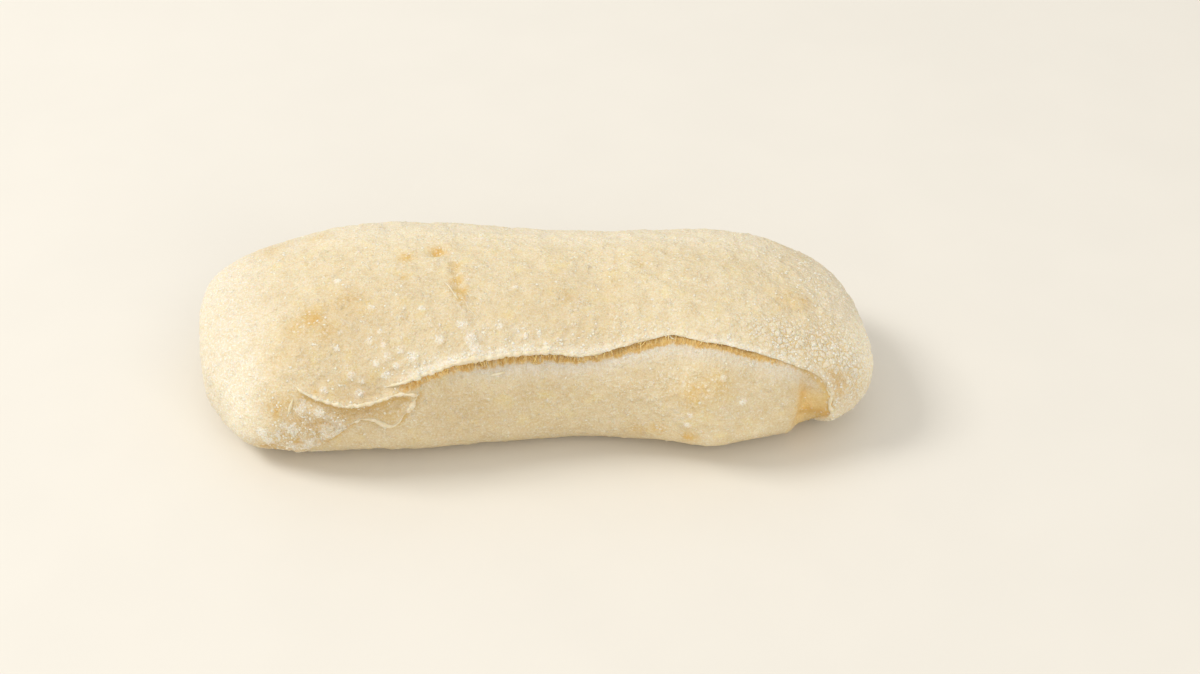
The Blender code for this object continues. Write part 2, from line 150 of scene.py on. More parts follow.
# By station along the flap's edge, all in mm: stand-off of the flap, and depth and mouth of the
# hollow below it.
FLAP_RAISE = (
    (-53, 0), (-44, 0.8), (-30, 1), (0, 1), (20, 0.8), (52, 0.65), (70, 0.45), (84, 0.35), (97, 0.2),
    (104, 0.3), (129, 0.4),
)
HOLLOW_DEPTH = (
    (-50, 0), (-38, 0.2), (-20, 0.3), (12, 0.3), (24, 0.2), (40, 0.1), (52, 0.15), (66, 0.1), (82, 0.1),
    (94, 0), (102, 0),
)
HOLLOW_MOUTH = (
    (-50, 0.8), (-40, 1.5), (-20, 2.7), (5, 2.8), (14, 2.3), (20, 1.5), (30, 2.1), (40, 2.6), (52, 2.7),
    (60, 1.9), (68, 1.3), (76, 1), (90, 1), (102, 0.9), (129, 0.9),
)

# Section through the edge, row by row from the front wall up onto the flap (mm): distance from
# the edge on the plain loaf, place it ends up (a length and a share of the mouth), and how far
# out it stands (shares of the flap's stand-off, of the hollow's depth and of the bead).
EDGE_ROWS = (-6.0, -3.2, -1.8, -1.0, -0.5, -0.15, 0.15, 0.5, 1.0, 1.8, 3.2, 6.0)
ROW_PLACE = (-6.0, -0.5, 0.0, 0.9, 1.2, 0.1, -0.45, 0.1, 0.9, 1.8, 3.2, 6.0)
ROW_MOUTH = (0.0, -1.0, -0.5, 0.0, 0.0, 0.0, 0.0, 0.0, 0.0, 0.0, 0.0, 0.0)
ROW_RAISE = (0.0, 0.0, 0.0, 0.0, 0.0, 0.2, 0.7, 1.0, 1.0, 1.0, 1.0, 1.0)
ROW_HOLLOW = (0.0, 0.3, 1.0, 1.0, 0.4, 0.0, 0.0, 0.0, 0.0, 0.0, 0.0, 0.0)
ROW_BEAD = (0.0, 0.0, 0.0, 0.0, 0.0, 0.0, 0.5, 1.0, 1.0, 0.6, 0.15, 0.0)

# Rows beside the ridge and the hem, and stations beside the edge below the corner (mm).
RIDGE_ROWS = (-2.4, -1.0, 0.0, 1.0, 2.4)
HEM_ROWS = (-1.3, -0.25, 0.25, 1.3)
EDGE_STATIONS = (-2.4, -1.6, -1.0, -0.6, -0.35, -0.2, -0.1, 0.1, 0.2, 0.35, 0.6, 1.0, 1.6, 2.4)
EDGE_STATION_ROOM = 0.0027

# How thick clumps of flour lie just above the edge, by station (mm).
BAND = (
    (-58, 0.1), (-50, 0.35), (-44, 0.6), (-24, 0.8), (0, 0.9), (14, 0.75), (26, 0.35), (60, 0.15),
    (84, 0.4), (100, 0.5),
)

# Painted places: station (mm), turn, reach (mm) and strength.
GOLD_SPOTS = (
    (-81.8, 66, 4.6, 1), (-88.5, 61.5, 4.6, 0.6), (-77, 58.5, 5, 0.6), (-69.5, 73.5, 6, 0.5),
    (-95.4, 46.5, 6, 0.35), (-98.5, 120, 6, 0.5), (-82.8, 121, 6, 0.5), (-36.3, 99.2, 3.4, 1),
    (-47.8, 95, 3.2, 0.9), (-48, 85, 1.4, 0.9), (-29, 91, 2.6, 0.8), (-27.6, 84, 3, 1),
    (-26.4, 77, 3.2, 1), (-25.8, 72.5, 2, 0.8), (41.2, 94, 3, 0.5), (13.7, 72.5, 3, 0.4),
    (60.5, 19, 5.5, 0.8), (68, 26.5, 5.5, 0.6), (58.6, -13, 3.4, 1), (47, -9, 4, 0.6), (40, -12, 4, 0.5),
    (30, 80, 6, 0.2), (100.9, 79.5, 4, 0.6), (96.6, 80, 7, 0.4), (100, -8, 3, 0.9), (107, 3, 1.2, 0.9),
    (107.9, -3.8, 1.3, 1), (108.6, 6, 1, 0.8), (98.9, -12, 2.4, 1), (101.4, -16, 2.4, 1),
    (104, -16, 2.2, 1), (106.2, -12, 1.5, 0.9), (-98.6, 16.2, 1.3, 1), (-96.3, 13.8, 1.3, 1),
    (-98.3, 7.5, 1.4, 1), (-85.8, 21, 1.4, 0.9), (-81, 23.5, 1.4, 0.7), (-69.5, 9.8, 2, 0.8),
    (-98.6, 11.8, 3, 0.8), (-92.9, 17, 2.6, 0.7), (-87.5, 11, 2.2, 0.6), (-100, -28.5, 3, 0.9),
    (-104.6, -22.5, 2.1, 1),
)
SCORCH_SPOTS = (
    (-97.5, 14.5, 1.1, 0.6), (22.1, 25, 0.8, 0.8), (58.9, -14, 0.8, 0.6), (-96.5, 11.5, 0.9, 0.5),
    (-36, 99.4, 2.2, 0.85), (-48.2, 95.2, 2, 0.35), (-81, 65, 2, 0.5), (-30.4, 81.5, 1.6, 0.35),
    (-29.6, 88, 1.4, 0.3), (57.4, -12.6, 1.2, 0.7), (-104.6, -22.5, 0.9, 0.6),
)
FLOUR_SPOTS = (
    (92, 99, 5.5, 0.5), (104, 92, 8, 0.4), (85.8, 63.5, 4, 0.5), (100, 40, 4.5, 0.9), (-18.5, 51, 5, 0.5),
    (-3, 51, 4, 0.4), (-24.3, 84.5, 2.8, 0.6), (-84, 12, 3.4, 0.8), (-78.5, 14.5, 2.8, 0.9),
    (62, 17, 2.6, 0.7), (57, 22, 2.2, 0.6), (110, 110, 10, 0.5), (-119, 98, 8, 0.4), (107.6, 9, 1.4, 0.9),
    (107.4, -1, 1.4, 0.9), (109, 2, 1.6, 0.8), (107.2, 15, 1.6, 0.8), (106, 20, 1.6, 0.7),
)

# Small soft blobs of flour: station (mm), turn and reach (mm).
FLOUR_BLOBS = (
    (-24.8, 57, 2.1), (-40.4, 66.5, 1.4), (-59.4, 68.5, 1.3), (-59.4, 49.8, 1.5), (-53.7, 47, 1.2),
    (-47.1, 43.2, 1.3), (-52.1, 40.8, 1.5), (-42.5, 39.8, 1.9), (-56.2, 37.2, 1.5), (-48.8, 35, 1.5),
    (-52.5, 30.2, 1.9), (-39.9, 31.2, 2), (-66, 31.5, 1.7), (-62.9, 21.2, 2), (-77.5, 24.2, 1.5),
    (-62.1, 27.8, 1.3), (-72.1, 47, 1.3), (-70.6, 56.2, 1.1), (-55.3, 54.2, 1), (-21.7, 47.8, 2.6),
    (-19.9, 42.2, 2.6), (-33.1, 48.8, 1.8), (-73.2, 85.8, 1.4), (-87.2, 12.2, 2.3), (-79.7, 11.2, 2.1),
    (-11.4, 54.8, 1.5), (-6.1, 79.5, 1.1), (10.1, 45.8, 1), (-1.6, 48.5, 1.1), (5.6, 43.5, 1),
    (-11.9, 27, 1.4), (3.4, 50, 1.1), (15.4, 38, 1), (57.8, -1, 1.5), (62.5, 44.5, 1.1),
    (69.5, 29.5, 1.5), (76.1, 12.8, 1.5), (58.6, 4.5, 1.2), (79.3, 36.5, 1.1),
)

# Crackled places, places of painted shade on a partly duller crust, and wrinkled places: station (mm), turn,
# reach (mm) and strength.
CRACKLE_SPOTS = (
    (92, 52, 10, 1), (104, 48, 12, 1), (114, 36, 12, 1), (82, 58, 6, 0.7), (116, 12, 12, 0.9),
    (110, 60, 11, 0.7), (110, 95, 12, 0.4),
)
SHADE_AND_DULL_SPOTS = (
    (-66, 57, 23, 0.75), (-47, 66, 20, 0.45), (11, 64, 26, 0.5), (-18, 60, 20, 0.45),
    (-101, 128, 15, 0.4), (-24, 8, 17, 0.45), (-62, 19, 13, 1), (-48, 22, 10, 0.8), (-76, 14, 13, 0.5),
    (-84, 0, 16, 0.45), (-72, 32, 13, 0.6), (-48, 32, 8, 0.6), (38, 34, 7, 0.3), (0, 24, 10, 0.35),
    (100, 75, 38, 0.26), (108, 126, 14, 0.55), (-74, 12, 3, 0.4), (-106, 84, 23, 0.28),
)
WRINKLE_SPOTS = (
    (-94, -8, 10, 1), (-84, 2, 9, 1), (-74, 5, 8, 1), (-98, 14, 8, 0.6), (-62, 9, 5, 0.6),
    (-102, -28, 8, 0.8),
)

# Sheets of caked flour, and places of painted light that make the crust paler: station (mm), turn, reach (mm)
# and strength.
CAKED_SPOTS = (
    (-87.2, 12.2, 2.2, 1), (-86.5, 17, 1.6, 0.9), (-79.7, 11.2, 2.1, 1), (-75.7, 5.8, 2.6, 1),
    (-71.7, 4.2, 2.4, 1), (-76.8, 0.5, 3, 1), (-73.2, 0.2, 2.6, 1), (-91.7, 0, 2.6, 1),
    (-95.1, 2, 2.2, 0.8), (-86.5, -7.5, 3, 1), (-81.8, -4.5, 2.6, 1), (-97.7, -4.8, 2.4, 0.7),
    (-104.4, -4.8, 3, 0.8), (-99.8, 12.2, 1.4, 0.9), (-102.3, -12.2, 2.8, 0.8), (-92, -12, 2.6, 0.8),
    (-21.7, 47.8, 2, 0.9), (-19.9, 42.2, 2.3, 0.9), (-33.1, 48.8, 1.3, 0.8), (-24.8, 57, 1.4, 0.8),
    (-42.5, 39.8, 1.3, 0.8), (-52.5, 30.2, 1.4, 0.8), (-39.9, 31.2, 1.5, 0.9), (-62.9, 21.2, 1.6, 0.9),
    (-10.5, 41, 1.6, 0.7), (-29, 37.5, 1.4, 0.8), (88, 46, 1.6, 0.8), (93.5, 40, 1.8, 0.8),
)
PAINTED_LIGHT_SPOTS = (
    (-111, 4, 12, 0.9), (124, 44, 11, 1), (126, 66, 8, 1), (65, -12, 10, 0.9), (52, -18, 8, 0.6),
    (80, -10, 9, 0.7), (101.5, -12, 5, 1), (103, 8, 4, 0.5),
)

# Where the finer mesh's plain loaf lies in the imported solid's frame.
MIDDLE = Vector((0.00004116, 0.00188712, 0.0))

# Steps that measure an outline, and steps of a traced line with the length of its eased corners;
# length of one degree of turn there; lowest turn of the foot; millimetres per step of the edge.
FINE_STEPS = 1441
TRACE_STEPS = 1601
EASED_CORNER = 0.004
TURN_LENGTH = 0.0009
FOOT_LIMIT = -72.0
EDGE_RUN_STEP = 0.13

# The plain loaf: where it draws in and swells out, and its reach in metres; powers that round
# its outline at the left and right tip, and its section above and below the girth; how far its
# middle line drifts sideways and slants towards either tip.
WAIST, WAIST_REACH = 0.020, 0.051
FRONT_LOBES = ((0.0663, 0.0134, 0.0036), (-0.096, 0.022, 0.0024))
LEFT_HUMP, RIGHT_HUMP, HUMP_REACH = -0.055, 0.066, 0.040
FRONT_POWERS, BACK_POWERS = (3.4, 3.3), (3.4, 3.35)
RISE_POWERS, FALL_POWERS = (3.4, 2.4), (4.8, 3.5)
SECTION_POWERS = (2.3, 2.8)
FALL_SINK = 0.003
TIP_START, TIP_SLANT, TIP_DRIFT = 0.046, 0.153, (-0.0043, 0.0045)

# Rows of a ring: underneath to the foot, on to the hem, the ridge and the edge, over the top to
# the back foot, and underneath again. The back, past the last seen turn, has fewer.
ROW_COUNTS = (11, 25, 14, 22, 131, 9)
GUIDE_ROOM = (0.0022, 0.0044, 0.0098)
SEEN_TURN = 118.0
HIDDEN_SHARE = 0.45

# Studio: area lights with the setting of their power, their place and size; the background's
# colour; where the camera aims before the shift by MIDDLE; its sensor (mm); half of the floor.
LAMPS = (("key_light", "key", (-1.75, 0.22, 1.85), 0.95), ("front_light", "front", (1.15, -2.1, 1.5), 2.0))
BACKGROUND = (1.0, 0.99, 0.97, 1.0)
CAMERA_AIM = Vector((0.0257, -0.0067, 0.030))
SENSOR_WIDTH = 36.0
FLOOR_HALF = 4.0


def length(name, description, default):
    return FloatProperty(name=name, description=description, default=default, unit="LENGTH", precision=5)


def colour(name, description, default):
    return FloatVectorProperty(name=name, description=description, default=default, size=4, subtype="COLOR",
                               min=0.0, max=1.0)


class CiabattaLoaf(bpy.types.PropertyGroup):
    """Sizes of the loaf."""

    length: length("Length", "Length of the loaf along its middle", 0.257)
    front_half: length("Front Half Width", "Width of the loaf before its middle line", 0.0518)
    back_half: length("Back Half Width", "Width of the loaf behind its middle line", 0.0575)
    front_waist: length("Front Waist", "How far the front draws in at the waist", 0.0104)
    back_waist: length("Back Waist", "How far the back draws in at the waist", 0.0045)
    height: length("Height", "Height of the dome at the waist", 0.056)
    left_hump: length("Left Hump", "Extra height of the left half", 0.0029)
    right_hump: length("Right Hump", "Extra height of the right half", 0.0019)
    girth_level: length("Girth Level", "Height at which the loaf is widest", 0.0224)
    bead: length("Edge Bead", "Thickness of the rolled bead along the flap's edge", 0.0004)
    ridge: length("Ridge Height", "Height of the thin ridge left of the flap", 0.0016)
    hem: length("Hem Height", "Thickness of the crust that laps the front wall", 0.0024)
    notch: length("Notch Depth", "How far the foot draws in below the pocket", 0.0045)
    blob: length("Blob Height", "Height of the small blobs of flour", 0.00040)
    pocket: length("Pocket Depth", "Depth of the pocket under the right corner", 0.0042)
    stations: IntProperty(name="Stations", description="Rings along the loaf", default=346, min=40, max=360)


class CiabattaCrust(bpy.types.PropertyGroup):
    """Relief of the crust."""

    blister: length("Blister Height", "Height of the largest blisters", 0.00042)
    blister_spacing: length("Blister Spacing", "Distance between blisters", 0.0028)
    swell: length("Unevenness", "Height of the broad unevenness", 0.0010)
    ripple: length("Ripple Height", "Height of the soft dimples", 0.0010)
    grain: length("Grain Height", "Height of the fine grain", 0.00016)
    wrinkle: length("Wrinkle Height", "Height of the wrinkles at the lower left", 0.0006)
    streak: length("Torn Streaks", "Depth of the torn streaks in the hollow", 0.0005)
    lumps: length("Edge Lumps", "Size of the lumps along the flap's edge", 0.00035)
    seed: IntProperty(name="Seed", description="Seed of the crust's relief", default=7)


class CiabattaColours(bpy.types.PropertyGroup):
    """Colours of the crust, the crumb and the flour."""

    cream: colour("Cream", "Palest crust", (0.800, 0.690, 0.475, 1.0))
    straw: colour("Straw", "Common crust", (0.680, 0.548, 0.330, 1.0))
    gold: colour("Gold", "Baked golden spots", (0.690, 0.480, 0.180, 1.0))
    brown: colour("Brown", "Darkest baked marks and torn crumb", (0.710, 0.425, 0.120, 1.0))
    torn: colour("Torn Crumb", "Torn crumb under the flap", (0.960, 0.690, 0.270, 1.0))
    wheat: colour("Wheat", "Pale yellow blotches", (0.800, 0.665, 0.350, 1.0))
    flour: colour("Flour", "Dusted flour", (0.890, 0.828, 0.690, 1.0))


class CiabattaFlour(bpy.types.PropertyGroup):
    """Loose flour and torn strands."""

    grain_radius: length("Grain Radius", "Largest radius of a flour grain", 0.00022)
    density: FloatProperty(name="Grain Density",
                           description="Flour grains per square metre where it is thickest",
                           default=200000.0, min=0.0)
    strand_radius: length("Strand Radius", "Thickness of a torn strand at its root", 0.00016)
    strand_length: FloatProperty(name="Strand Length",
                                 description="Longest strand as a share of the hollow's height",
                                 default=1.0, min=0.0)
    strand_density: FloatProperty(name="Strand Density",
                                  description="Torn strands per square metre under the edge",
                                  default=1150000.0, min=0.0)
    clump_radius: length("Clump Radius", "Largest radius of a clump of flour", 0.00062)
    clump_spacing: length("Clump Spacing", "Least distance between clumps", 0.0008)
    background: FloatProperty(name="Stray Clumps", description="Share of clumps where none are painted",
                              default=0.055, min=0.0, max=1.0)
    seed: IntProperty(name="Seed", description="Seed of the scattered flour", default=3)


class CiabattaStudio(bpy.types.PropertyGroup):
    """Floor, lights and camera."""

    floor: colour("Floor", "Colour of the floor", (0.790, 0.745, 0.660, 1.0))
    key: FloatProperty(name="Key Light", description="Power of the large light", default=34.0, unit="POWER")
    front: FloatProperty(name="Front Light", description="Power of the light beside the camera", default=21.0,
                         unit="POWER")
    fill: FloatProperty(name="Fill", description="Strength of the light from all round", default=0.72,
                        min=0.0)
    lens: FloatProperty(name="Lens", description="Focal length of the camera", default=60.0, unit="CAMERA")
    elevation: FloatProperty(name="Elevation", description="Camera's angle above the horizon",
                             default=np.radians(39.0), unit="ROTATION")
    distance: length("Distance", "From the camera to its aim", 0.767)


def bell(distance, reach):
    """1 at no distance, falling smoothly to 0 a little past reach."""
    return np.exp(-((distance / reach) ** 2))


def ramp(value, start, end):
    """0 up to start, 1 from end on, with a smooth rise between."""
    share = np.clip((value - start) / (end - start), 0.0, 1.0)
    return share * share * (3.0 - 2.0 * share)


def fade(value, start, end):
    """1 up to start, 0 from end on, with a smooth fall between."""
    return 1.0 - ramp(value, start, end)


def end_share(size, along, powers):
    """Share of the full size that is left at a station: 1 mid-loaf and 0 at either tip."""
    power = np.where(along < 0.0, powers[0], powers[1])
    reach = np.clip(np.abs(along) / (size.length / 2.0), 0.0, 1.0)
    return (1.0 - reach**power) ** (1.0 / power)


def plain_loaf(size, along, around):
    """Points of the loaf without its flap, ridge, pocket and swells."""
    turn = np.radians(around)
    out, up = np.cos(turn), np.sin(turn)
    waist = bell(along - WAIST, WAIST_REACH)
    front = size.front_half - size.front_waist * waist
    for station, reach, swell in FRONT_LOBES:
        front = front + swell * bell(along - station, reach)
    back = size.back_half - size.back_waist * waist
    half = np.where(out > 0.0, front * end_share(size, along, FRONT_POWERS),
                    back * end_share(size, along, BACK_POWERS))
    dome = size.height
    for hump, station in ((size.left_hump, LEFT_HUMP), (size.right_hump, RIGHT_HUMP)):
        dome = dome + hump * bell(along - station, HUMP_REACH)
    rise = (dome - size.girth_level) * end_share(size, along, RISE_POWERS)
    fall = (size.girth_level + FALL_SINK) * end_share(size, along, FALL_POWERS)
    power = np.where(up > 0.0, *SECTION_POWERS)
    notch = ramp(along, 0.0925, 0.0985) * fade(along, 0.1030, 0.1085)
    notch = notch * ramp(-around, -6.0, 24.0) * (out > 0.0)
    side = np.sign(out) * np.abs(out) ** (2.0 / power) * (half - size.notch * notch)
    level = np.sign(up) * np.abs(up) ** (2.0 / power) * np.where(up > 0.0, rise, fall)
    height = np.maximum(size.girth_level + level, 0.0)
    late = ramp(np.abs(along), TIP_START, size.length / 2.0)
    spine = np.where(along < 0.0, *TIP_DRIFT) * late
    return np.stack(np.broadcast_arrays(along + TIP_SLANT * late * side, spine - side, height), axis=-1)


def crust_normal(size, along, around):
    """Outward unit normal of the plain loaf."""
    step = np.minimum(0.0005, (size.length / 2.0 - np.abs(along)) * 0.5)
    across = plain_loaf(size, along, around + 0.5) - plain_loaf(size, along, around - 0.5)
    onward = plain_loaf(size, along + step, around) - plain_loaf(size, along - step, around)
    normal = np.cross(onward, across)
    return normal / np.maximum(np.linalg.norm(normal, axis=-1, keepdims=True), 1e-12)


def foot_turn(size, along):
    """Turn at which the front of the plain loaf meets the ground."""
    fall = (size.girth_level + FALL_SINK) * end_share(size, along, FALL_POWERS)
    share = np.clip(size.girth_level / np.maximum(fall, size.girth_level), 0.0, 1.0) ** 1.4
    return np.maximum(-np.degrees(np.arcsin(share)), FOOT_LIMIT)


def trace(knots):
    """Stations and turns at close steps along a line through its knots, with eased corners."""
    along, around = np.array(knots).T
    along = along * MM
    run = np.concatenate([[0.0], np.cumsum(np.hypot(np.diff(along), np.diff(around) * TURN_LENGTH))])
    fine = np.linspace(0.0, run[-1], TRACE_STEPS)
    window = np.hanning(2 * int(TRACE_STEPS * EASED_CORNER / run[-1]) + 3)[1:-1]
    half = len(window) // 2
    eased = []
    for values in (along, around):
        line = np.interp(fine, run, values)
        lead = 2.0 * line[0] - line[half:0:-1]
        tail = 2.0 * line[-1] - line[-2:-half - 2:-1]
        eased.append(np.convolve(np.concatenate([lead, line, tail]), window / window.sum(), "valid"))
    return eased


EDGE_TRACE, RIDGE_TRACE, HEM_TRACE = trace(EDGE), trace(RIDGE), trace(HEM)


def guide(along, line, lead_in, lead_out, end):
    """Turn of a guiding row: it follows a traced line up to a station, and its leads elsewhere."""
    keep = np.arange(TRACE_STEPS) < (np.argmax(line[0] > end) if np.any(line[0] > end) else TRACE_STEPS)
    lead_in, lead_out = np.array(lead_in), np.array(lead_out)
    place = np.concatenate([lead_in[:, 0] * MM, line[0][keep], lead_out[:, 0] * MM])
    return np.interp(along, place, np.concatenate([lead_in[:, 1], line[1][keep], lead_out[:, 1]]))


def edge_turn(along):
    """Turn of the flap's edge."""
    return guide(along, EDGE_TRACE, EDGE_LEAD_IN, EDGE_LEAD_OUT, CORNER_START)


def ridge_turn(along):
    """Turn of the ridge left of the flap."""
    return guide(along, RIDGE_TRACE, RIDGE_LEAD_IN, RIDGE_LEAD_OUT, 1.0)


def hem_turn(along):
    """Turn of the hem below the ridge."""
    return guide(along, HEM_TRACE, HEM_LEAD_IN, HEM_LEAD_OUT, HEM_END)


def edge_along(around):
    """Station of the flap's edge below the corner, at each turn."""
    low = EDGE_TRACE[1] < CORNER_TURN
    return np.interp(around, EDGE_TRACE[1][low][::-1], EDGE_TRACE[0][low][::-1])


def on_flap(along, around):
    """Whether a place lies on the flap's side of its edge."""
    right = EDGE_TRACE[0] > RIGHT_SIDE
    order = np.argsort(EDGE_TRACE[1][right])
    past_corner = along > np.interp(around, EDGE_TRACE[1][right][order], EDGE_TRACE[0][right][order])
    return np.where(along < RIGHT_SIDE, around > edge_turn(along), past_corner)


def nearest(points, target):
    """Distance from each point to a close row of points, and the index of the nearest of them."""
    tree = KDTree(len(target))
    for index, point in enumerate(target):
        tree.insert(point, index)
    tree.balance()
    found = [tree.find(point)[1:] for point in points.reshape(-1, 3)]
    index, gap = np.array(found).T
    return gap.reshape(points.shape[:-1]), index.astype(int).reshape(points.shape[:-1])


def ends_eased(index, share):
    """1 along a traced line, falling to 0 over a share of it at both ends."""
    place = index / (TRACE_STEPS - 1.0)
    return ramp(place, 0.0, share) * ramp(1.0 - place, 0.0, share)


def graded(points, table):
    """Value of a table of millimetres and values at each station."""
    place, value = np.array(table).T
    return np.interp(points, place * MM, value)


def rounded(values, steps=16):
    """A row of values with smooth in-between ones, passing through each of them."""
    values = np.array(values, dtype=float)
    ends = np.concatenate([[2.0 * values[0] - values[1]], values, [2.0 * values[-1] - values[-2]]])
    share = np.arange(steps)[None, :] / steps
    before, start, end, after = (ends[i:len(ends) - 3 + i, None] for i in range(4))
    slope, bend = end - before, 2.0 * before - 5.0 * start + 4.0 * end - after
    twist = 3.0 * (start - end) + after - before
    curve = 0.5 * (2.0 * start + slope * share + bend * share**2 + twist * share**3)
    return np.append(curve.ravel(), values[-1])


PROFILE = {name: rounded(values) for name, values in (
    ("gap", EDGE_ROWS), ("place", ROW_PLACE), ("mouth", ROW_MOUTH), ("raise", ROW_RAISE),
    ("hollow", ROW_HOLLOW), ("bead", ROW_BEAD))}
PROFILE["gap"] = PROFILE["gap"] * MM


def profile(name, gap):
    """A value of the section through the edge at a distance from it."""
    return np.interp(gap, PROFILE["gap"], PROFILE[name])


def wander(steps, pitch, seed):
    """Smooth random values from -1 to 1 along a traced line."""
    values = [noise.noise(Vector((step / pitch, seed, 0.5))) for step in range(TRACE_STEPS)]
    return np.array(values)[steps]


def degree_length(size, along, around):
    """Length of one degree of turn around the section."""
    ahead, behind = plain_loaf(size, along, around + 0.5), plain_loaf(size, along, around - 0.5)
    return np.linalg.norm(ahead - behind, axis=-1)


def near_line(plain, size, knots):
    """Distance of each point to a line through knots, and the nearest step of that line."""
    return nearest(plain, plain_loaf(size, *trace(knots)))


def painted(plain, size, spots):
    """Strength of a table of soft spots at each point."""
    total = np.zeros(plain.shape[:-1])
    for place, turn, reach, strength in spots:
        centre = plain_loaf(size, np.array(place * MM), np.array(turn))
        total = np.maximum(total, strength * bell(np.linalg.norm(plain - centre, axis=-1), reach * MM))
    return total


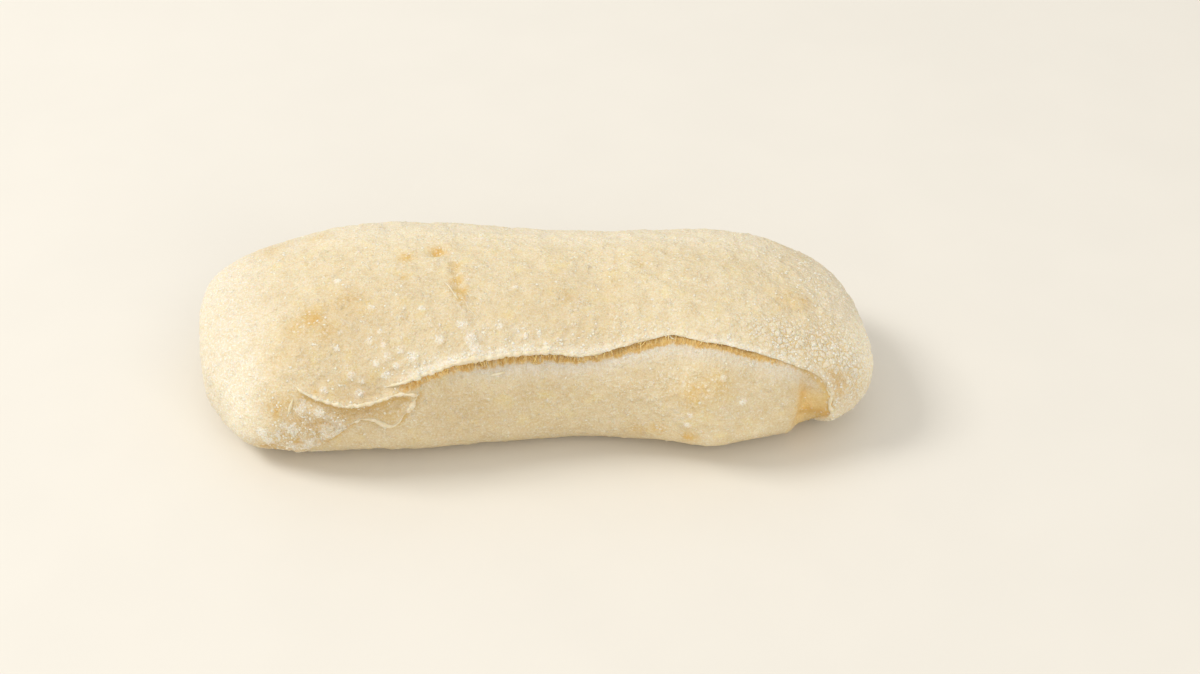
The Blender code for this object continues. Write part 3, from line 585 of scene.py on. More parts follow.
def loaf_surface(size, along, around):
    """Points of the whole crust, and what is painted on each."""
    plain = plain_loaf(size, along, around)
    flap = on_flap(along, around)

    # Section through the flap's edge: the flap stands off, rolls into a bead and hangs over a hollow.
    gap, step = nearest(plain, plain_loaf(size, *EDGE_TRACE))
    gap = np.where(flap, gap, -gap)
    place = EDGE_TRACE[0][step]
    fold = ramp(place, -0.050, -0.034) * fade(place, 0.094, 0.103) * (1.0 - 0.35 * ramp(place, 0.028, 0.044))
    mouth = graded(place, HOLLOW_MOUTH) * MM * (1.0 + 0.35 * wander(step, 26.0, 1.0))
    hollow = graded(place, HOLLOW_DEPTH) * MM
    shift = profile("place", gap) * MM - np.clip(gap, PROFILE["gap"][0], PROFILE["gap"][-1])
    shift = shift + mouth * profile("mouth", gap)
    shift = shift + 0.00035 * wander(step, 11.0, 2.0) * bell(gap - 0.0003, 0.0012)
    edge_part = ramp(place, -0.053, -0.042)
    out = graded(place, FLAP_RAISE) * MM * profile("raise", gap) * bell(np.maximum(gap - 0.004, 0.0), 0.024)
    out = out - hollow * profile("hollow", gap)
    thick = size.bead * (1.0 + 1.1 * fade(place, 0.004, 0.032)) * (1.0 + 0.6 * wander(step, 9.0, 3.0))
    out = out + edge_part * thick * profile("bead", gap)
    out = out * fade(step / (TRACE_STEPS - 1.0), 0.985, 1.0)

    # Pocket under the right corner.
    low = ramp(around, -36.0, 0.0) * fade(around, 4.0, 34.0)
    brim = 0.0010 * bell(around - 8.0, 14.0)
    stepped = 0.40 * ramp(along, 0.0830, 0.0965 + brim) + 0.60 * ramp(along, 0.0940 + brim, 0.0985 + brim)
    floor = size.pocket * (1.0 - 0.90 * ramp(along, 0.0975, EDGE_STATION - 0.0006))
    pocket = low * floor * stepped * ramp(-gap, -0.0004, 0.0026)
    out = out - np.where(flap, 0.0, pocket)

    # Ridge left of the flap, the crust that laps the wall down to the hem, and the dip below both.
    ridge_gap, step_on_ridge = nearest(plain, plain_loaf(size, *RIDGE_TRACE))
    crest = ridge_turn(along)
    below_ridge = around < crest
    ridge = bell(ridge_gap, 0.0011) * ends_eased(step_on_ridge, 0.08)
    ridge = ridge * (1.0 + 0.45 * wander(step_on_ridge, 60.0, 4.0))
    ridge = ridge * (1.0 - 0.75 * ramp(along, -0.054, -0.048))
    hem_gap, _ = nearest(plain, plain_loaf(size, *HEM_TRACE))
    above = (around > np.interp(along, *HEM_TRACE)) & (along < HEM_TRACE[0][-1])
    hem = np.where(above, bell(hem_gap, 0.012), 0.0) * ramp(around, HEM_FOOT, -10.0)
    hem = hem * np.sqrt(ramp(hem_gap, -0.0002, 0.0018))
    out = out + size.ridge * ridge + size.hem * hem * ramp(crest - around, -24.0, 0.0)
    dip = 0.0009 * bell(ridge_gap - 0.0030, 0.0017) * ends_eased(step_on_ridge, 0.14)
    out = out - dip * below_ridge * ramp(hem_gap, 0.0004, 0.0022)

    # Welts, grooves, swells and blobs of flour. Only narrow grooves are painted as cracks.
    lines = 0.6 * ridge
    for knots, height, reach in WELTS:
        apart, on_line = near_line(plain, size, knots)
        welt = bell(apart, reach * MM) * ends_eased(on_line, 0.15)
        out, lines = out + height * MM * welt, np.maximum(lines, welt)
    cracks = np.zeros_like(gap)
    for knots, depth, reach in CREASES:
        apart, on_line = near_line(plain, size, knots)
        ends = ends_eased(on_line, 0.25)
        out = out - depth * MM * (bell(apart, reach * MM) * ends)
        if reach < CRACK_REACH:
            cracks = np.maximum(cracks, bell(apart, (reach + CRACK_STAIN) * MM) * ends)
    for spot, turn, reach, height in SWELLS:
        centre = plain_loaf(size, np.array(spot * MM), np.array(turn))
        out = out + height * MM * bell(np.linalg.norm(plain - centre, axis=-1), reach * MM)
    blobs = painted(plain, size, [(*blob, 1.0) for blob in FLOUR_BLOBS])
    out = out + size.blob * blobs
    turned = around + shift * fold / np.maximum(degree_length(size, along, around), 1e-5)
    base = plain_loaf(size, along, turned)
    points = base + crust_normal(size, along, turned) * out[..., None]
    points[..., 2] = np.where(base[..., 2] <= 0.0, 0.0, np.maximum(points[..., 2], 0.0))

    # What is painted: where each effect of the material, and each separate piece, shows.
    hem_edge = bell(hem_gap - 0.0002, 0.0009) * ramp(around, HEM_FOOT, -14.0) * above
    hem_edge = hem_edge * (1.0 - 0.9 * ramp(along, -0.0510, -0.0480))
    hem_edge = hem_edge * (0.75 + 0.25 * ramp(along, -0.0700, -0.0650))
    covered = np.where(along < -0.0405, above, flap)
    wall = np.where(covered | (along < -0.100), 0.0, 1.0) * ramp(along, -0.100, -0.088)
    wall = wall * fade(along, 0.100, 0.110) * ramp(around, -140.0, -60.0) * fade(around, 90.0, 100.0)
    inside = above * below_ridge * ramp(along, -0.084, -0.070) * ramp(hem_gap, 0.0010, 0.0030)
    # Painted shade: a golden-brown line beneath the ridge and another beneath the hem, where flour is kept
    # off.
    under = bell(ridge_gap - 0.0016, 0.0010) * ends_eased(step_on_ridge, 0.10) * below_ridge
    shade_below_hem = bell(hem_gap - 0.0006, 0.0006) * ramp(around, HEM_FOOT, -10.0) * ~above * (along < 0.0)
    under = np.maximum(under, shade_below_hem)
    crackle = np.where(flap, painted(plain, size, CRACKLE_SPOTS), 0.0)
    wrinkle = np.where(above | (along < -0.088), painted(plain, size, WRINKLE_SPOTS), 0.0)
    flour = painted(plain, size, FLOUR_SPOTS)
    band = np.where(flap, bell(np.maximum(gap - 0.0015, 0.0), 0.0042) * graded(place, BAND), 0.0)
    film = np.maximum.reduce([1.15 * ramp(-along, 0.084, 0.118), 0.90 * ramp(along, 0.088, 0.118),
                              0.7 * ramp(around, 96.0, 118.0), 0.8 * band])
    fringe = bell(gap - 0.00012, 0.00016) * ramp(place, -0.046, -0.030) * fade(place, 0.086, 0.094)
    fringe = fringe * (0.25 + 0.75 * ramp(mouth, 0.0009, 0.0020))
    pocket_paint = ramp(along, 0.0900, 0.0990 + brim) * (0.45 + 0.55 * fade(around, -2.0, 24.0))
    pocket_paint = pocket_paint * fade(around, 30.0, 48.0)
    # Painted shade in the crease at the pocket's left side, and a brown line low across the pocket.
    pocket_crease_shade = bell(along - 0.0966 - brim, 0.0016) * bell(around - 9.0, 13.0)
    pocket_crease_shade = pocket_crease_shade + 0.9 * bell(around + 11.0, 6.0) * ramp(along, 0.0955, 0.0985)
    brink = np.where(flap, 0.0, bell(gap + 0.0010, 0.0010)) * ramp(place, 0.086, 0.096)
    wall_flour = wall * ramp(place, -0.040, -0.012) * bell(np.maximum(-gap - mouth - 0.0008, 0.0), 0.0050)
    torn = edge_part * ramp(gap, -0.0048, -0.0023 + 0.0006 * wander(step, 14.0, 8.0))
    torn = torn * fade(gap, -0.0001, 0.0002) * fade(place, 0.084, 0.100)
    lip_reach = 0.0018 + 0.0009 * fade(place, 0.008, 0.034) + 0.0004 * wander(step, 22.0, 12.0)
    lip = edge_part * bell(np.maximum(gap - 0.0007, 0.0), lip_reach) * ramp(gap, -0.0001, 0.0003)
    lip = lip * (1.0 - 0.6 * ramp(place, 0.085, 0.100))
    lip = lip * (1.0 - 0.55 * ramp(place, 0.024, 0.036) * ramp(-place, -0.070, -0.060))
    clumps = np.maximum.reduce([0.45 * crackle, 0.6 * wrinkle, flour, 0.9 * blobs, band, hem_edge,
                                0.7 * lip * ramp(-place, -0.03, 0.0)])
    paint = {
        "edge_gap": gap * PER_METRE,
        "edge_run": step * EDGE_RUN_STEP,
        "torn": np.where(around > -40.0, torn, 0.0),
        "lip": np.maximum.reduce([lip, np.minimum(lines, 1.0), hem_edge]),
        "pocket": np.where(flap, 0.0, pocket_paint),
        # The crease mark holds the cracks' own baked colour and the painted shade of the pocket's crease.
        "crease": np.maximum(0.8 * cracks, np.where(flap, 0.0, pocket_crease_shade)),
        "clumps": clumps,
        "film": film,
        "fringe": fringe,
        "hem_edge": hem_edge,
        "wall": wall,
        "wall_flour": np.where(flap, 0.0, wall_flour),
        "under": under,
        "gold": np.maximum.reduce([painted(plain, size, GOLD_SPOTS), 0.42 * inside, brink]),
        "flour": flour,
        "blobs": blobs,
        "crackle": crackle,
        "wrinkle": wrinkle,
        "mouth": mouth * PER_METRE,
    }
    # Painted shade on a partly duller tone and painted light on paler places come from their spots, as do
    # scorch marks and caked flour.
    for name, spots in (("scorch", SCORCH_SPOTS), ("dull", SHADE_AND_DULL_SPOTS), ("pale", PAINTED_LIGHT_SPOTS),
                        ("caked", CAKED_SPOTS)):
        paint[name] = painted(plain, size, spots)
    down = plain_loaf(size, along, around - 0.5) - plain_loaf(size, along, around + 0.5)
    return points, paint, down / np.maximum(np.linalg.norm(down, axis=-1, keepdims=True), 1e-9)


def run_along(points):
    """Length of a row of points up to each of them."""
    return np.concatenate([[0.0], np.cumsum(np.linalg.norm(np.diff(points, axis=0), axis=1))])


def stations(size):
    """Stations spaced evenly along the front's outline, and closer around the pocket."""
    along = size.length / 2.0 * np.sin(np.linspace(-np.pi / 2.0, np.pi / 2.0, FINE_STEPS))
    steps = np.diff(run_along(plain_loaf(size, along, np.zeros_like(along))))
    run = np.concatenate([[0.0], np.cumsum(steps * (1.0 + 0.7 * bell(along[1:] - 0.101, 0.009)))])
    even = np.interp(np.linspace(0.0, run[-1], size.stations + 1)[1:-1], run, along)
    even = even[np.abs(even - EDGE_STATION) > EDGE_STATION_ROOM]
    return np.sort(np.concatenate([even, EDGE_STATION + np.array(EDGE_STATIONS) * MM]))


def ring(size, along):
    """Turns of the rows at a station: even between the guiding rows, and close beside them."""
    fine = np.linspace(-90.0, 270.0, FINE_STEPS)
    steps = np.linalg.norm(np.diff(plain_loaf(size, np.full_like(fine, along), fine), axis=0), axis=1)
    seen = np.where(fine[1:] < SEEN_TURN, 1.0, HIDDEN_SHARE)
    run = np.concatenate([[0.0], np.cumsum(steps * seen)])
    foot = foot_turn(size, along)
    turns = [foot, hem_turn(along), ridge_turn(along), edge_turn(along), 180.0 - foot]
    foot, hem, ridge, edge, back = np.interp(turns, fine, run)
    hem = np.clip(hem, foot + 0.0002, ridge - 0.0002)
    squeeze = np.clip(np.diff([foot, hem, ridge, edge]) / GUIDE_ROOM, 0.0, 1.0)
    hem = hem + rounded(HEM_ROWS, 2) * MM * min(squeeze[0], squeeze[1])
    ridge = ridge + rounded(RIDGE_ROWS, 3) * MM * min(squeeze[1], squeeze[2])
    edge = edge + rounded(EDGE_ROWS, 3) * MM * squeeze[2]
    under, wall, fold, flap, top, behind = ROW_COUNTS
    rows = np.concatenate([
        np.linspace(0.0, foot, under)[:-1],
        np.linspace(foot, hem[0], wall)[:-1],
        hem,
        np.linspace(hem[-1], ridge[0], fold)[1:-1],
        ridge,
        np.linspace(ridge[-1], edge[0], flap)[1:-1],
        edge,
        np.linspace(edge[-1], back, top)[1:],
        np.linspace(back, run[-1], behind)[1:-1],
    ])
    return np.interp(rows, run, fine)


def closed_loft(points, tips):
    """Vertices and faces of a closed loft over a grid of points, with a fan at either tip."""
    count, rows = points.shape[:2]
    grid = np.arange(count * rows).reshape(count, rows)
    after = np.roll(grid, -1, axis=1)
    quads = np.stack([grid[:-1], grid[1:], after[1:], after[:-1]], axis=-1).reshape(-1, 4)
    first, last = count * rows, count * rows + 1
    caps = [(first, int(a), int(b)) for a, b in zip(grid[0], after[0])]
    caps += [(last, int(b), int(a)) for a, b in zip(grid[-1], after[-1])]
    return np.concatenate([points.reshape(-1, 3), tips]), quads.tolist() + caps


class Wire:
    """An output of a node. Arithmetic on it adds the maths nodes that work the result out."""

    def __init__(self, socket):
        self.socket = socket
        self.tree = socket.id_data

    def __add__(self, other):
        return maths("ADD", self, other)

    def __sub__(self, other):
        return maths("SUBTRACT", self, other)

    def __rsub__(self, other):
        return maths("SUBTRACT", other, self)

    def __mul__(self, other):
        return maths("MULTIPLY", self, other)

    def __truediv__(self, other):
        return maths("DIVIDE", self, other)

    def __rtruediv__(self, other):
        return maths("DIVIDE", other, self)

    def __pow__(self, other):
        return maths("POWER", self, other)

    def __abs__(self):
        return maths("ABSOLUTE", self)

    def clamped(self):
        """The same value, kept between 0 and 1 by the maths node that works it out."""
        self.socket.node.use_clamp = True
        return self


class Wires:
    """The outputs of a node, taken by name or by index."""

    def __init__(self, sockets):
        self.sockets = sockets

    def __getitem__(self, key):
        return Wire(self.sockets[key])


def tree_of(*values):
    return next(value.tree for value in values if isinstance(value, Wire))


def feed(socket, value):
    """Sets an input to a value, or links another node's output to it."""
    if isinstance(value, Wire):
        socket.id_data.links.new(value.socket, socket)
    else:
        socket.default_value = value


def node(tree, kind, inputs=None, **settings):
    """Adds a node, sets it, feeds its inputs, and returns its outputs."""
    made = tree.nodes.new(kind)
    for name, value in settings.items():
        setattr(made, name, value)
    for name, value in (inputs or {}).items():
        feed(made.inputs[name], value)
    return Wires(made.outputs)


def maths(operation, first, second=0.5):
    return node(tree_of(first, second), "ShaderNodeMath", {0: first, 1: second}, operation=operation)[0]


def most(first, *others):
    for other in others:
        first = maths("MAXIMUM", first, other)
    return first


def vectors(operation, *values):
    return node(tree_of(*values), "ShaderNodeVectorMath", dict(enumerate(values)), operation=operation)[0]


def scaled(vector, scale):
    return node(vector.tree, "ShaderNodeVectorMath", {0: vector, "Scale": scale}, operation="SCALE")[0]


def combined(x=0.0, y=0.0, z=0.0):
    return node(tree_of(x, y, z), "ShaderNodeCombineXYZ", {"X": x, "Y": y, "Z": z})[0]


def part_of(vector, axis):
    return node(vector.tree, "ShaderNodeSeparateXYZ", {"Vector": vector})[axis]


def in_millimetres(place, seed):
    """A place in millimetres, moved along X by a seed."""
    return vectors("MULTIPLY_ADD", place, (PER_METRE, PER_METRE, PER_METRE), combined(seed))


def between(value, low, high, to_low=0.0, to_high=1.0):
    """A smooth rise from one value to another as the input passes from low to high."""
    inputs = {"Value": value, "From Min": low, "From Max": high, "To Min": to_low, "To Max": to_high}
    return node(value.tree, "ShaderNodeMapRange", inputs, interpolation_type="SMOOTHSTEP")["Result"]


def noise_at(vector, scale, detail=2.0, roughness=0.5, distortion=0.0):
    inputs = {"Vector": vector, "Scale": scale, "Detail": detail, "Roughness": roughness,
              "Distortion": distortion}
    return node(vector.tree, "ShaderNodeTexNoise", inputs)["Fac"]


def noise_colour(vector, scale, detail):
    return node(vector.tree, "ShaderNodeTexNoise", {"Vector": vector, "Scale": scale,
                                                    "Detail": detail})["Color"]


def tree_with(name, sockets, kind="GeometryNodeTree"):
    """A node tree with named inputs and outputs."""
    tree = bpy.data.node_groups.new(name, kind)
    for label, direction, socket_type, value in sockets:
        socket = tree.interface.new_socket(name=label, in_out=direction, socket_type=socket_type)
        if value is not None:
            socket.default_value = value
    return tree, Wires(tree.nodes.new("NodeGroupInput").outputs), tree.nodes.new("NodeGroupOutput").inputs


def geometry_tree(name, values, extra=()):
    """A Geometry Nodes tree that takes a mesh, a material and named numbers, and returns a mesh."""
    sockets = [("Geometry", "OUTPUT", "NodeSocketGeometry", None),
               ("Geometry", "INPUT", "NodeSocketGeometry", None),
               ("Material", "INPUT", "NodeSocketMaterial", None)]
    for label, value in values:
        kind = "NodeSocketInt" if isinstance(value, int) else "NodeSocketFloat"
        sockets.append((label, "INPUT", kind, value))
    return tree_with(name, sockets + list(extra))


def attribute(tree, name, data_type="FLOAT"):
    return node(tree, "GeometryNodeInputNamedAttribute", {"Name": name}, data_type=data_type)["Attribute"]


def position(tree):
    return node(tree, "GeometryNodeInputPosition")[0]


def stored(geometry, name, value):
    inputs = {"Geometry": geometry, "Name": name, "Value": value}
    settings = {"data_type": "FLOAT", "domain": "POINT"}
    return node(geometry.tree, "GeometryNodeStoreNamedAttribute", inputs, **settings)[0]


def moved(geometry, offset):
    return node(geometry.tree, "GeometryNodeSetPosition", {"Geometry": geometry, "Offset": offset})[0]


def along_normals(tree, height):
    return scaled(node(tree, "GeometryNodeInputNormal")[0], height)


def on_faces(tree, inputs, **settings):
    return node(tree, "GeometryNodeDistributePointsOnFaces", inputs, **settings)


def placed(points, instance, turn, scale):
    """An instance on each point, turned and scaled."""
    inputs = {"Points": points, "Instance": instance, "Rotation": turn, "Scale": scale}
    return node(points.tree, "GeometryNodeInstanceOnPoints", inputs)[0]


def realized(geometry):
    return node(geometry.tree, "GeometryNodeRealizeInstances", {"Geometry": geometry})[0]


def finished(geometry, inputs, outputs):
    """Ends a tree with real geometry that carries its material."""
    dressed = {"Geometry": realized(geometry), "Material": inputs["Material"]}
    feed(outputs["Geometry"], node(geometry.tree, "GeometryNodeSetMaterial", dressed)[0])


def drawn(tree, low, high, seed, **inputs):
    """A random number per item."""
    inputs = {2: low, 3: high, "Seed": seed, **inputs}
    return node(tree, "FunctionNodeRandomValue", inputs, data_type="FLOAT")[1]


def drawn_vector(tree, low, high, seed):
    return node(tree, "FunctionNodeRandomValue", {0: low, 1: high, "Seed": seed}, data_type="FLOAT_VECTOR")[0]


def crust_relief_tree():
    """Raises the crust's blisters, grain, wrinkles, cracks, torn streaks and lumps."""
    tree, inputs, outputs = geometry_tree("crust_relief", (
        ("Blister Height", 0.0002), ("Blister Spacing", 0.003), ("Unevenness", 0.0007),
        ("Ripple Height", 0.0008), ("Grain Height", 0.0001), ("Wrinkle Height", 0.0006),
        ("Torn Streaks", 0.0005), ("Edge Lumps", 0.0003), ("Seed", 7)))

    def paint(name):
        return attribute(tree, name)

    # Broad unevenness, soft dimples, and blisters on a share of a set of cells.
    place = position(tree)
    mm = in_millimetres(place, inputs["Seed"])
    height = (noise_at(mm, 0.075, 2.0, 0.5) - 0.5) * (inputs["Unevenness"] * 2.0)
    calm = 1.0 - paint("wall") * 0.7
    height += (noise_at(mm, 0.19, 1.0, 0.4) - 0.5) * calm * inputs["Ripple Height"]
    spacing = MM / inputs["Blister Spacing"]
    cell = node(tree, "ShaderNodeTexVoronoi", {"Vector": mm, "Scale": spacing, "Randomness": 1.0})
    chance = node(tree, "FunctionNodeSeparateColor", {"Color": cell["Color"]})
    chosen = between(chance[0], 0.45, 0.85)
    width = between(chance[1], 0.0, 1.0, 0.28, 0.62)
    blister = between(cell["Distance"] / width, 1.0, 0.1) * chosen
    height += blister * inputs["Blister Height"]

    # Pits and fine grain.
    height -= between(noise_at(mm, 0.33, 2.0, 0.6), 0.36, 0.28) * (inputs["Grain Height"] * 0.4)
    height += (noise_at(mm, 0.62, 3.0, 0.65) - 0.5) * (inputs["Grain Height"] * 1.15)

    # Wrinkles and the caked lumps between them.
    warped = vectors("MULTIPLY_ADD", noise_colour(mm, 0.35, 2.0), (2.6, 2.6, 2.6), mm)
    folds = abs(noise_at(warped, 0.30, 3.0, 0.6, 0.6) - 0.5)
    caked = node(tree, "ShaderNodeTexVoronoi", {"Vector": warped, "Scale": 0.36, "Randomness": 1.0},
                 feature="DISTANCE_TO_EDGE")["Distance"]
    wrinkle = between(folds, 0.08, 0.0) * 0.35 + between(caked, 0.02, 0.24)
    wrinkle = (wrinkle * paint("wrinkle")).clamped()
    height += wrinkle * inputs["Wrinkle Height"]

    # Torn streaks across the flap's edge, and lumps along it.
    tear = combined(paint("edge_run") * 0.85, paint("edge_gap") * 0.16)
    height += (noise_at(tear, 1.0, 3.0, 0.6) - 0.5) * paint("torn") * (inputs["Torn Streaks"] * 3.0)
    lump = (noise_at(mm, 0.75, 2.0, 0.5) - 0.45) * most(paint("lip"), paint("hem_edge"))
    height += lump * (inputs["Edge Lumps"] * 2.5)

    # A ragged foot, which stays on the ground.
    level = part_of(place, "Z")
    height += (noise_at(mm, 0.42, 3.0, 0.6) - 0.5) * between(level, 0.0035, 0.0002, 0.0, 0.0016)
    free = combined(1.0, 1.0, between(level, 0.0002, 0.0025))
    lift = vectors("MULTIPLY", along_normals(tree, height), free)

    geometry = stored(inputs["Geometry"], "blister", blister)
    geometry = stored(geometry, "wrinkled", wrinkle)
    for name, vector, scale, roughness, low, high in (
            ("broad", mm, 0.055, 0.6, 0.36, 0.64), ("medium", warped, 0.24, 0.6, 0.38, 0.64),
            ("baked", warped, 0.15, 0.65, 0.53, 0.70), ("floury", mm, 0.19, 0.65, 0.44, 0.64)):
        geometry = stored(geometry, name, between(noise_at(vector, scale, 3.0, roughness), low, high))
    finished(moved(geometry, lift), inputs, outputs)
    return tree


def scatter_tree():
    """Dusts a crust with small flour grains, thickest where flour is painted."""
    tree, inputs, outputs = geometry_tree("flour_scatter", (
        ("Grain Radius", 0.0002), ("Density", 260000.0), ("Seed", 3)))
    place = position(tree)
    patches = between(noise_at(place, 260.0, 3.0, 0.6), 0.50, 0.66)
    crackle, wrinkle = attribute(tree, "crackle"), attribute(tree, "wrinkle")
    floury = most(attribute(tree, "flour"), crackle * 0.8, wrinkle * 0.9)
    lip = attribute(tree, "lip") * 0.9
    amount = most(floury * (patches + 0.25), lip) + patches * 0.10
    heaped = most(wrinkle, crackle * 0.6, lip)
    amount += heaped * 4.0 * (patches + 0.2)
    kept = (1.0 - most(attribute(tree, "torn"), attribute(tree, "pocket"))).clamped()
    amount = amount * kept * between(part_of(place, "Z"), 0.002, 0.006)
    points = on_faces(tree, {"Mesh": inputs["Geometry"], "Density": amount * inputs["Density"],
                             "Seed": inputs["Seed"]}, distribute_method="RANDOM")["Points"]
    grain = node(tree, "GeometryNodeMeshIcoSphere", {"Radius": inputs["Grain Radius"], "Subdivisions": 1})[0]
    draw = drawn(tree, 0.0, 1.0, inputs["Seed"], ID=node(tree, "GeometryNodeInputIndex")[0])
    scale = between(draw ** 2.2, 0.0, 1.0, 0.38, 1.0)
    turn = drawn_vector(tree, (0.0, 0.0, 0.0), (6.28, 6.28, 6.28), inputs["Seed"])
    finished(placed(points, grain, turn, combined(scale, scale * 0.8, scale * 0.6)), inputs, outputs)
    return tree


def fringe_tree():
    """Hangs tapering torn strands from the underside of the flap's edge."""
    tree, inputs, outputs = geometry_tree("torn_fringe", (
        ("Strand Radius", 0.0003), ("Strand Length", 1.0), ("Density", 420000.0), ("Seed", 3)))
    density = attribute(tree, "fringe") * inputs["Density"]
    points = on_faces(tree, {"Mesh": inputs["Geometry"], "Density": density, "Seed": inputs["Seed"]},
                      distribute_method="RANDOM")["Points"]
    strand = node(tree, "GeometryNodeMeshCone", {"Vertices": 6, "Side Segments": 3, "Radius Top": 0.4,
                                                 "Radius Bottom": 1.0, "Depth": 1.0}, fill_type="NGON")
    jitter = drawn_vector(tree, (-0.75, 0.00, -0.20), (0.75, 0.35, 0.20), inputs["Seed"])
    aim = vectors("ADD", attribute(tree, "down", "FLOAT_VECTOR"), jitter)
    turn = node(tree, "FunctionNodeAlignRotationToVector", {"Vector": aim}, axis="Z")[0]
    reach = attribute(tree, "mouth") * MM * inputs["Strand Length"]
    thick = drawn(tree, 0.5, 1.5, 11) * inputs["Strand Radius"]
    size = combined(thick, thick * drawn(tree, 0.5, 1.0, 17), drawn(tree, 0.3, 1.2, 5) * reach)
    finished(placed(points, strand["Mesh"], turn, size), inputs, outputs)
    return tree


def clump_tree():
    """Sets flat uneven clumps of flour on the crust where clumps are painted."""
    tree, inputs, outputs = geometry_tree("flour_clumps", (
        ("Clump Radius", 0.0007), ("Spacing", 0.0012), ("Background", 0.04), ("Seed", 3)))
    place = position(tree)
    patches = between(noise_at(place, 210.0, 2.0, 0.6), 0.40, 0.60, 0.30, 1.0)
    bare = (1.0 - most(attribute(tree, "wall"), attribute(tree, "pocket"))).clamped()
    loose = inputs["Background"] * between(noise_at(place, 90.0), 0.42, 0.60)
    amount = attribute(tree, "clumps") * patches * bare + loose * (bare * 0.7 + 0.3)
    amount = amount * between(part_of(place, "Z"), 0.003, 0.006)
    amount = amount * (1.0 - attribute(tree, "torn")).clamped()
    points = on_faces(tree, {"Mesh": inputs["Geometry"], "Distance Min": inputs["Spacing"],
                             "Density Max": 900000.0, "Density Factor": amount, "Seed": inputs["Seed"]},
                      distribute_method="POISSON")
    clump = node(tree, "GeometryNodeMeshUVSphere", {"Segments": 8, "Rings": 5, "Radius": 1.0})[0]
    wide = between(drawn(tree, 0.0, 1.0, 21), 0.0, 1.0, 0.42, 1.0) * inputs["Clump Radius"]
    size = combined(wide, wide * drawn(tree, 0.5, 1.0, 23), wide * drawn(tree, 0.25, 0.45, 25))
    spin = combined(0.0, 0.0, drawn(tree, 0.0, 6.28, 27))
    turn = node(tree, "FunctionNodeRotateRotation", {0: points["Rotation"], 1: spin},
                rotation_space="LOCAL")[0]
    clumps = realized(placed(points["Points"], clump, turn, size))
    bump = (noise_at(position(tree), 1500.0, 2.0, 0.6) - 0.5) * 2.0
    finished(moved(clumps, along_normals(tree, bump * 0.00022)), inputs, outputs)
    return tree


def thread_tree():
    """Turns lines into thin lumpy threads that lie on the crust."""
    tree, inputs, outputs = geometry_tree("crust_threads", (("Lump Scale", 900.0),),
                                          (("Crust", "INPUT", "NodeSocketObject", None),))
    crust = node(tree, "GeometryNodeObjectInfo", {"Object": inputs["Crust"]},
                 transform_space="RELATIVE")["Geometry"]
    near = node(tree, "GeometryNodeProximity", {0: crust}, target_element="FACES")["Position"]
    normal = node(tree, "GeometryNodeInputNormal")[0]
    face = node(tree, "GeometryNodeSampleNearestSurface", {"Mesh": crust, "Value": normal},
                data_type="FLOAT_VECTOR")["Value"]
    radius = attribute(tree, "radius")
    lift = scaled(face, radius * (0.55 - attribute(tree, "sunk")))
    laid = node(tree, "GeometryNodeSetPosition", {"Geometry": inputs["Geometry"], "Position": near,
                                                  "Offset": lift})[0]
    line = node(tree, "GeometryNodeMeshToCurve", {"Mesh": laid})[0]
    section = node(tree, "GeometryNodeCurvePrimitiveCircle", {"Resolution": 8, "Radius": 1.0})[0]
    tube = node(tree, "GeometryNodeCurveToMesh", {"Curve": line, "Profile Curve": section, "Scale": radius,
                                                  "Fill Caps": True})[0]
    bump = (noise_at(position(tree), inputs["Lump Scale"], 3.0, 0.7) - 0.46) * 5.0
    bump = bump * (radius * attribute(tree, "lumps"))
    finished(moved(tube, along_normals(tree, bump)), inputs, outputs)
    return tree


def grown(name, mesh, tree, values, material):
    """Runs a Geometry Nodes tree over a mesh and returns the result as a plain piece."""
    source = bpy.data.objects.new(name + "_source", mesh)
    bpy.context.scene.collection.objects.link(source)
    modifier = source.modifiers.new(tree.name, "NODES")
    modifier.node_group = tree
    values = dict(values, Material=material)
    for socket in tree.interface.items_tree:
        if socket.item_type == "SOCKET" and socket.in_out == "INPUT" and socket.name in values:
            modifier[socket.identifier] = values[socket.name]
    graph = bpy.context.evaluated_depsgraph_get()
    made = bpy.data.meshes.new_from_object(source.evaluated_get(graph))
    made.name = name
    source.modifiers.remove(modifier)
    bpy.data.objects.remove(source)
    piece = bpy.data.objects.new(name, made)
    bpy.context.scene.collection.objects.link(piece)
    made.shade_smooth()
    if not len(made.polygons):
        raise RuntimeError(f"{name} came out empty")
    return piece


def shader_group(name, inputs, outputs):
    """A shader node group with named numbers in and out."""
    sockets = [(label, "INPUT", "NodeSocketFloat", value) for label, value in inputs]
    sockets += [(label, "OUTPUT", "NodeSocketFloat", None) for label in outputs]
    return tree_with(name, sockets, "ShaderNodeTree")


def place_on_object(tree):
    return node(tree, "ShaderNodeTexCoord")["Object"]


def painted_mask(tree, name):
    return node(tree, "ShaderNodeAttribute", attribute_name=name)["Fac"]


def grain_group():
    """Fine grain shared by crust, crumb and flour: a tone, specks of dust and a height for bump."""
    tree, inputs, outputs = shader_group("fine_grain", (("Size", 1.0), ("Seed", 0.0)),
                                         ("Tone", "Dust", "Height"))
    vector = scaled(in_millimetres(place_on_object(tree), inputs["Seed"]), 1.0 / inputs["Size"])
    coarse = noise_at(vector, 1.0, 2.0, 0.7)
    fine = noise_at(vector, 2.6, 1.0, 0.6)
    feed(outputs["Tone"], coarse * 0.5 + fine * 0.5)
    feed(outputs["Dust"], between(coarse, 0.50, 0.66))
    feed(outputs["Height"], coarse * 0.75 + fine * 0.25)
    return tree


def mottle_group():
    """Soft blotches of a given size that pass from 0 to 1 between two levels."""
    tree, inputs, outputs = shader_group(
        "mottle", (("Size", 10.0), ("Low", 0.4), ("High", 0.6), ("Seed", 0.0)), ("Mask", "Height"))
    place = in_millimetres(place_on_object(tree), inputs["Seed"])
    blotch = noise_at(place, 1.0 / inputs["Size"], 2.0, 0.6)
    feed(outputs["Mask"], between(blotch, inputs["Low"], inputs["High"]))
    feed(outputs["Height"], blotch)
    return tree


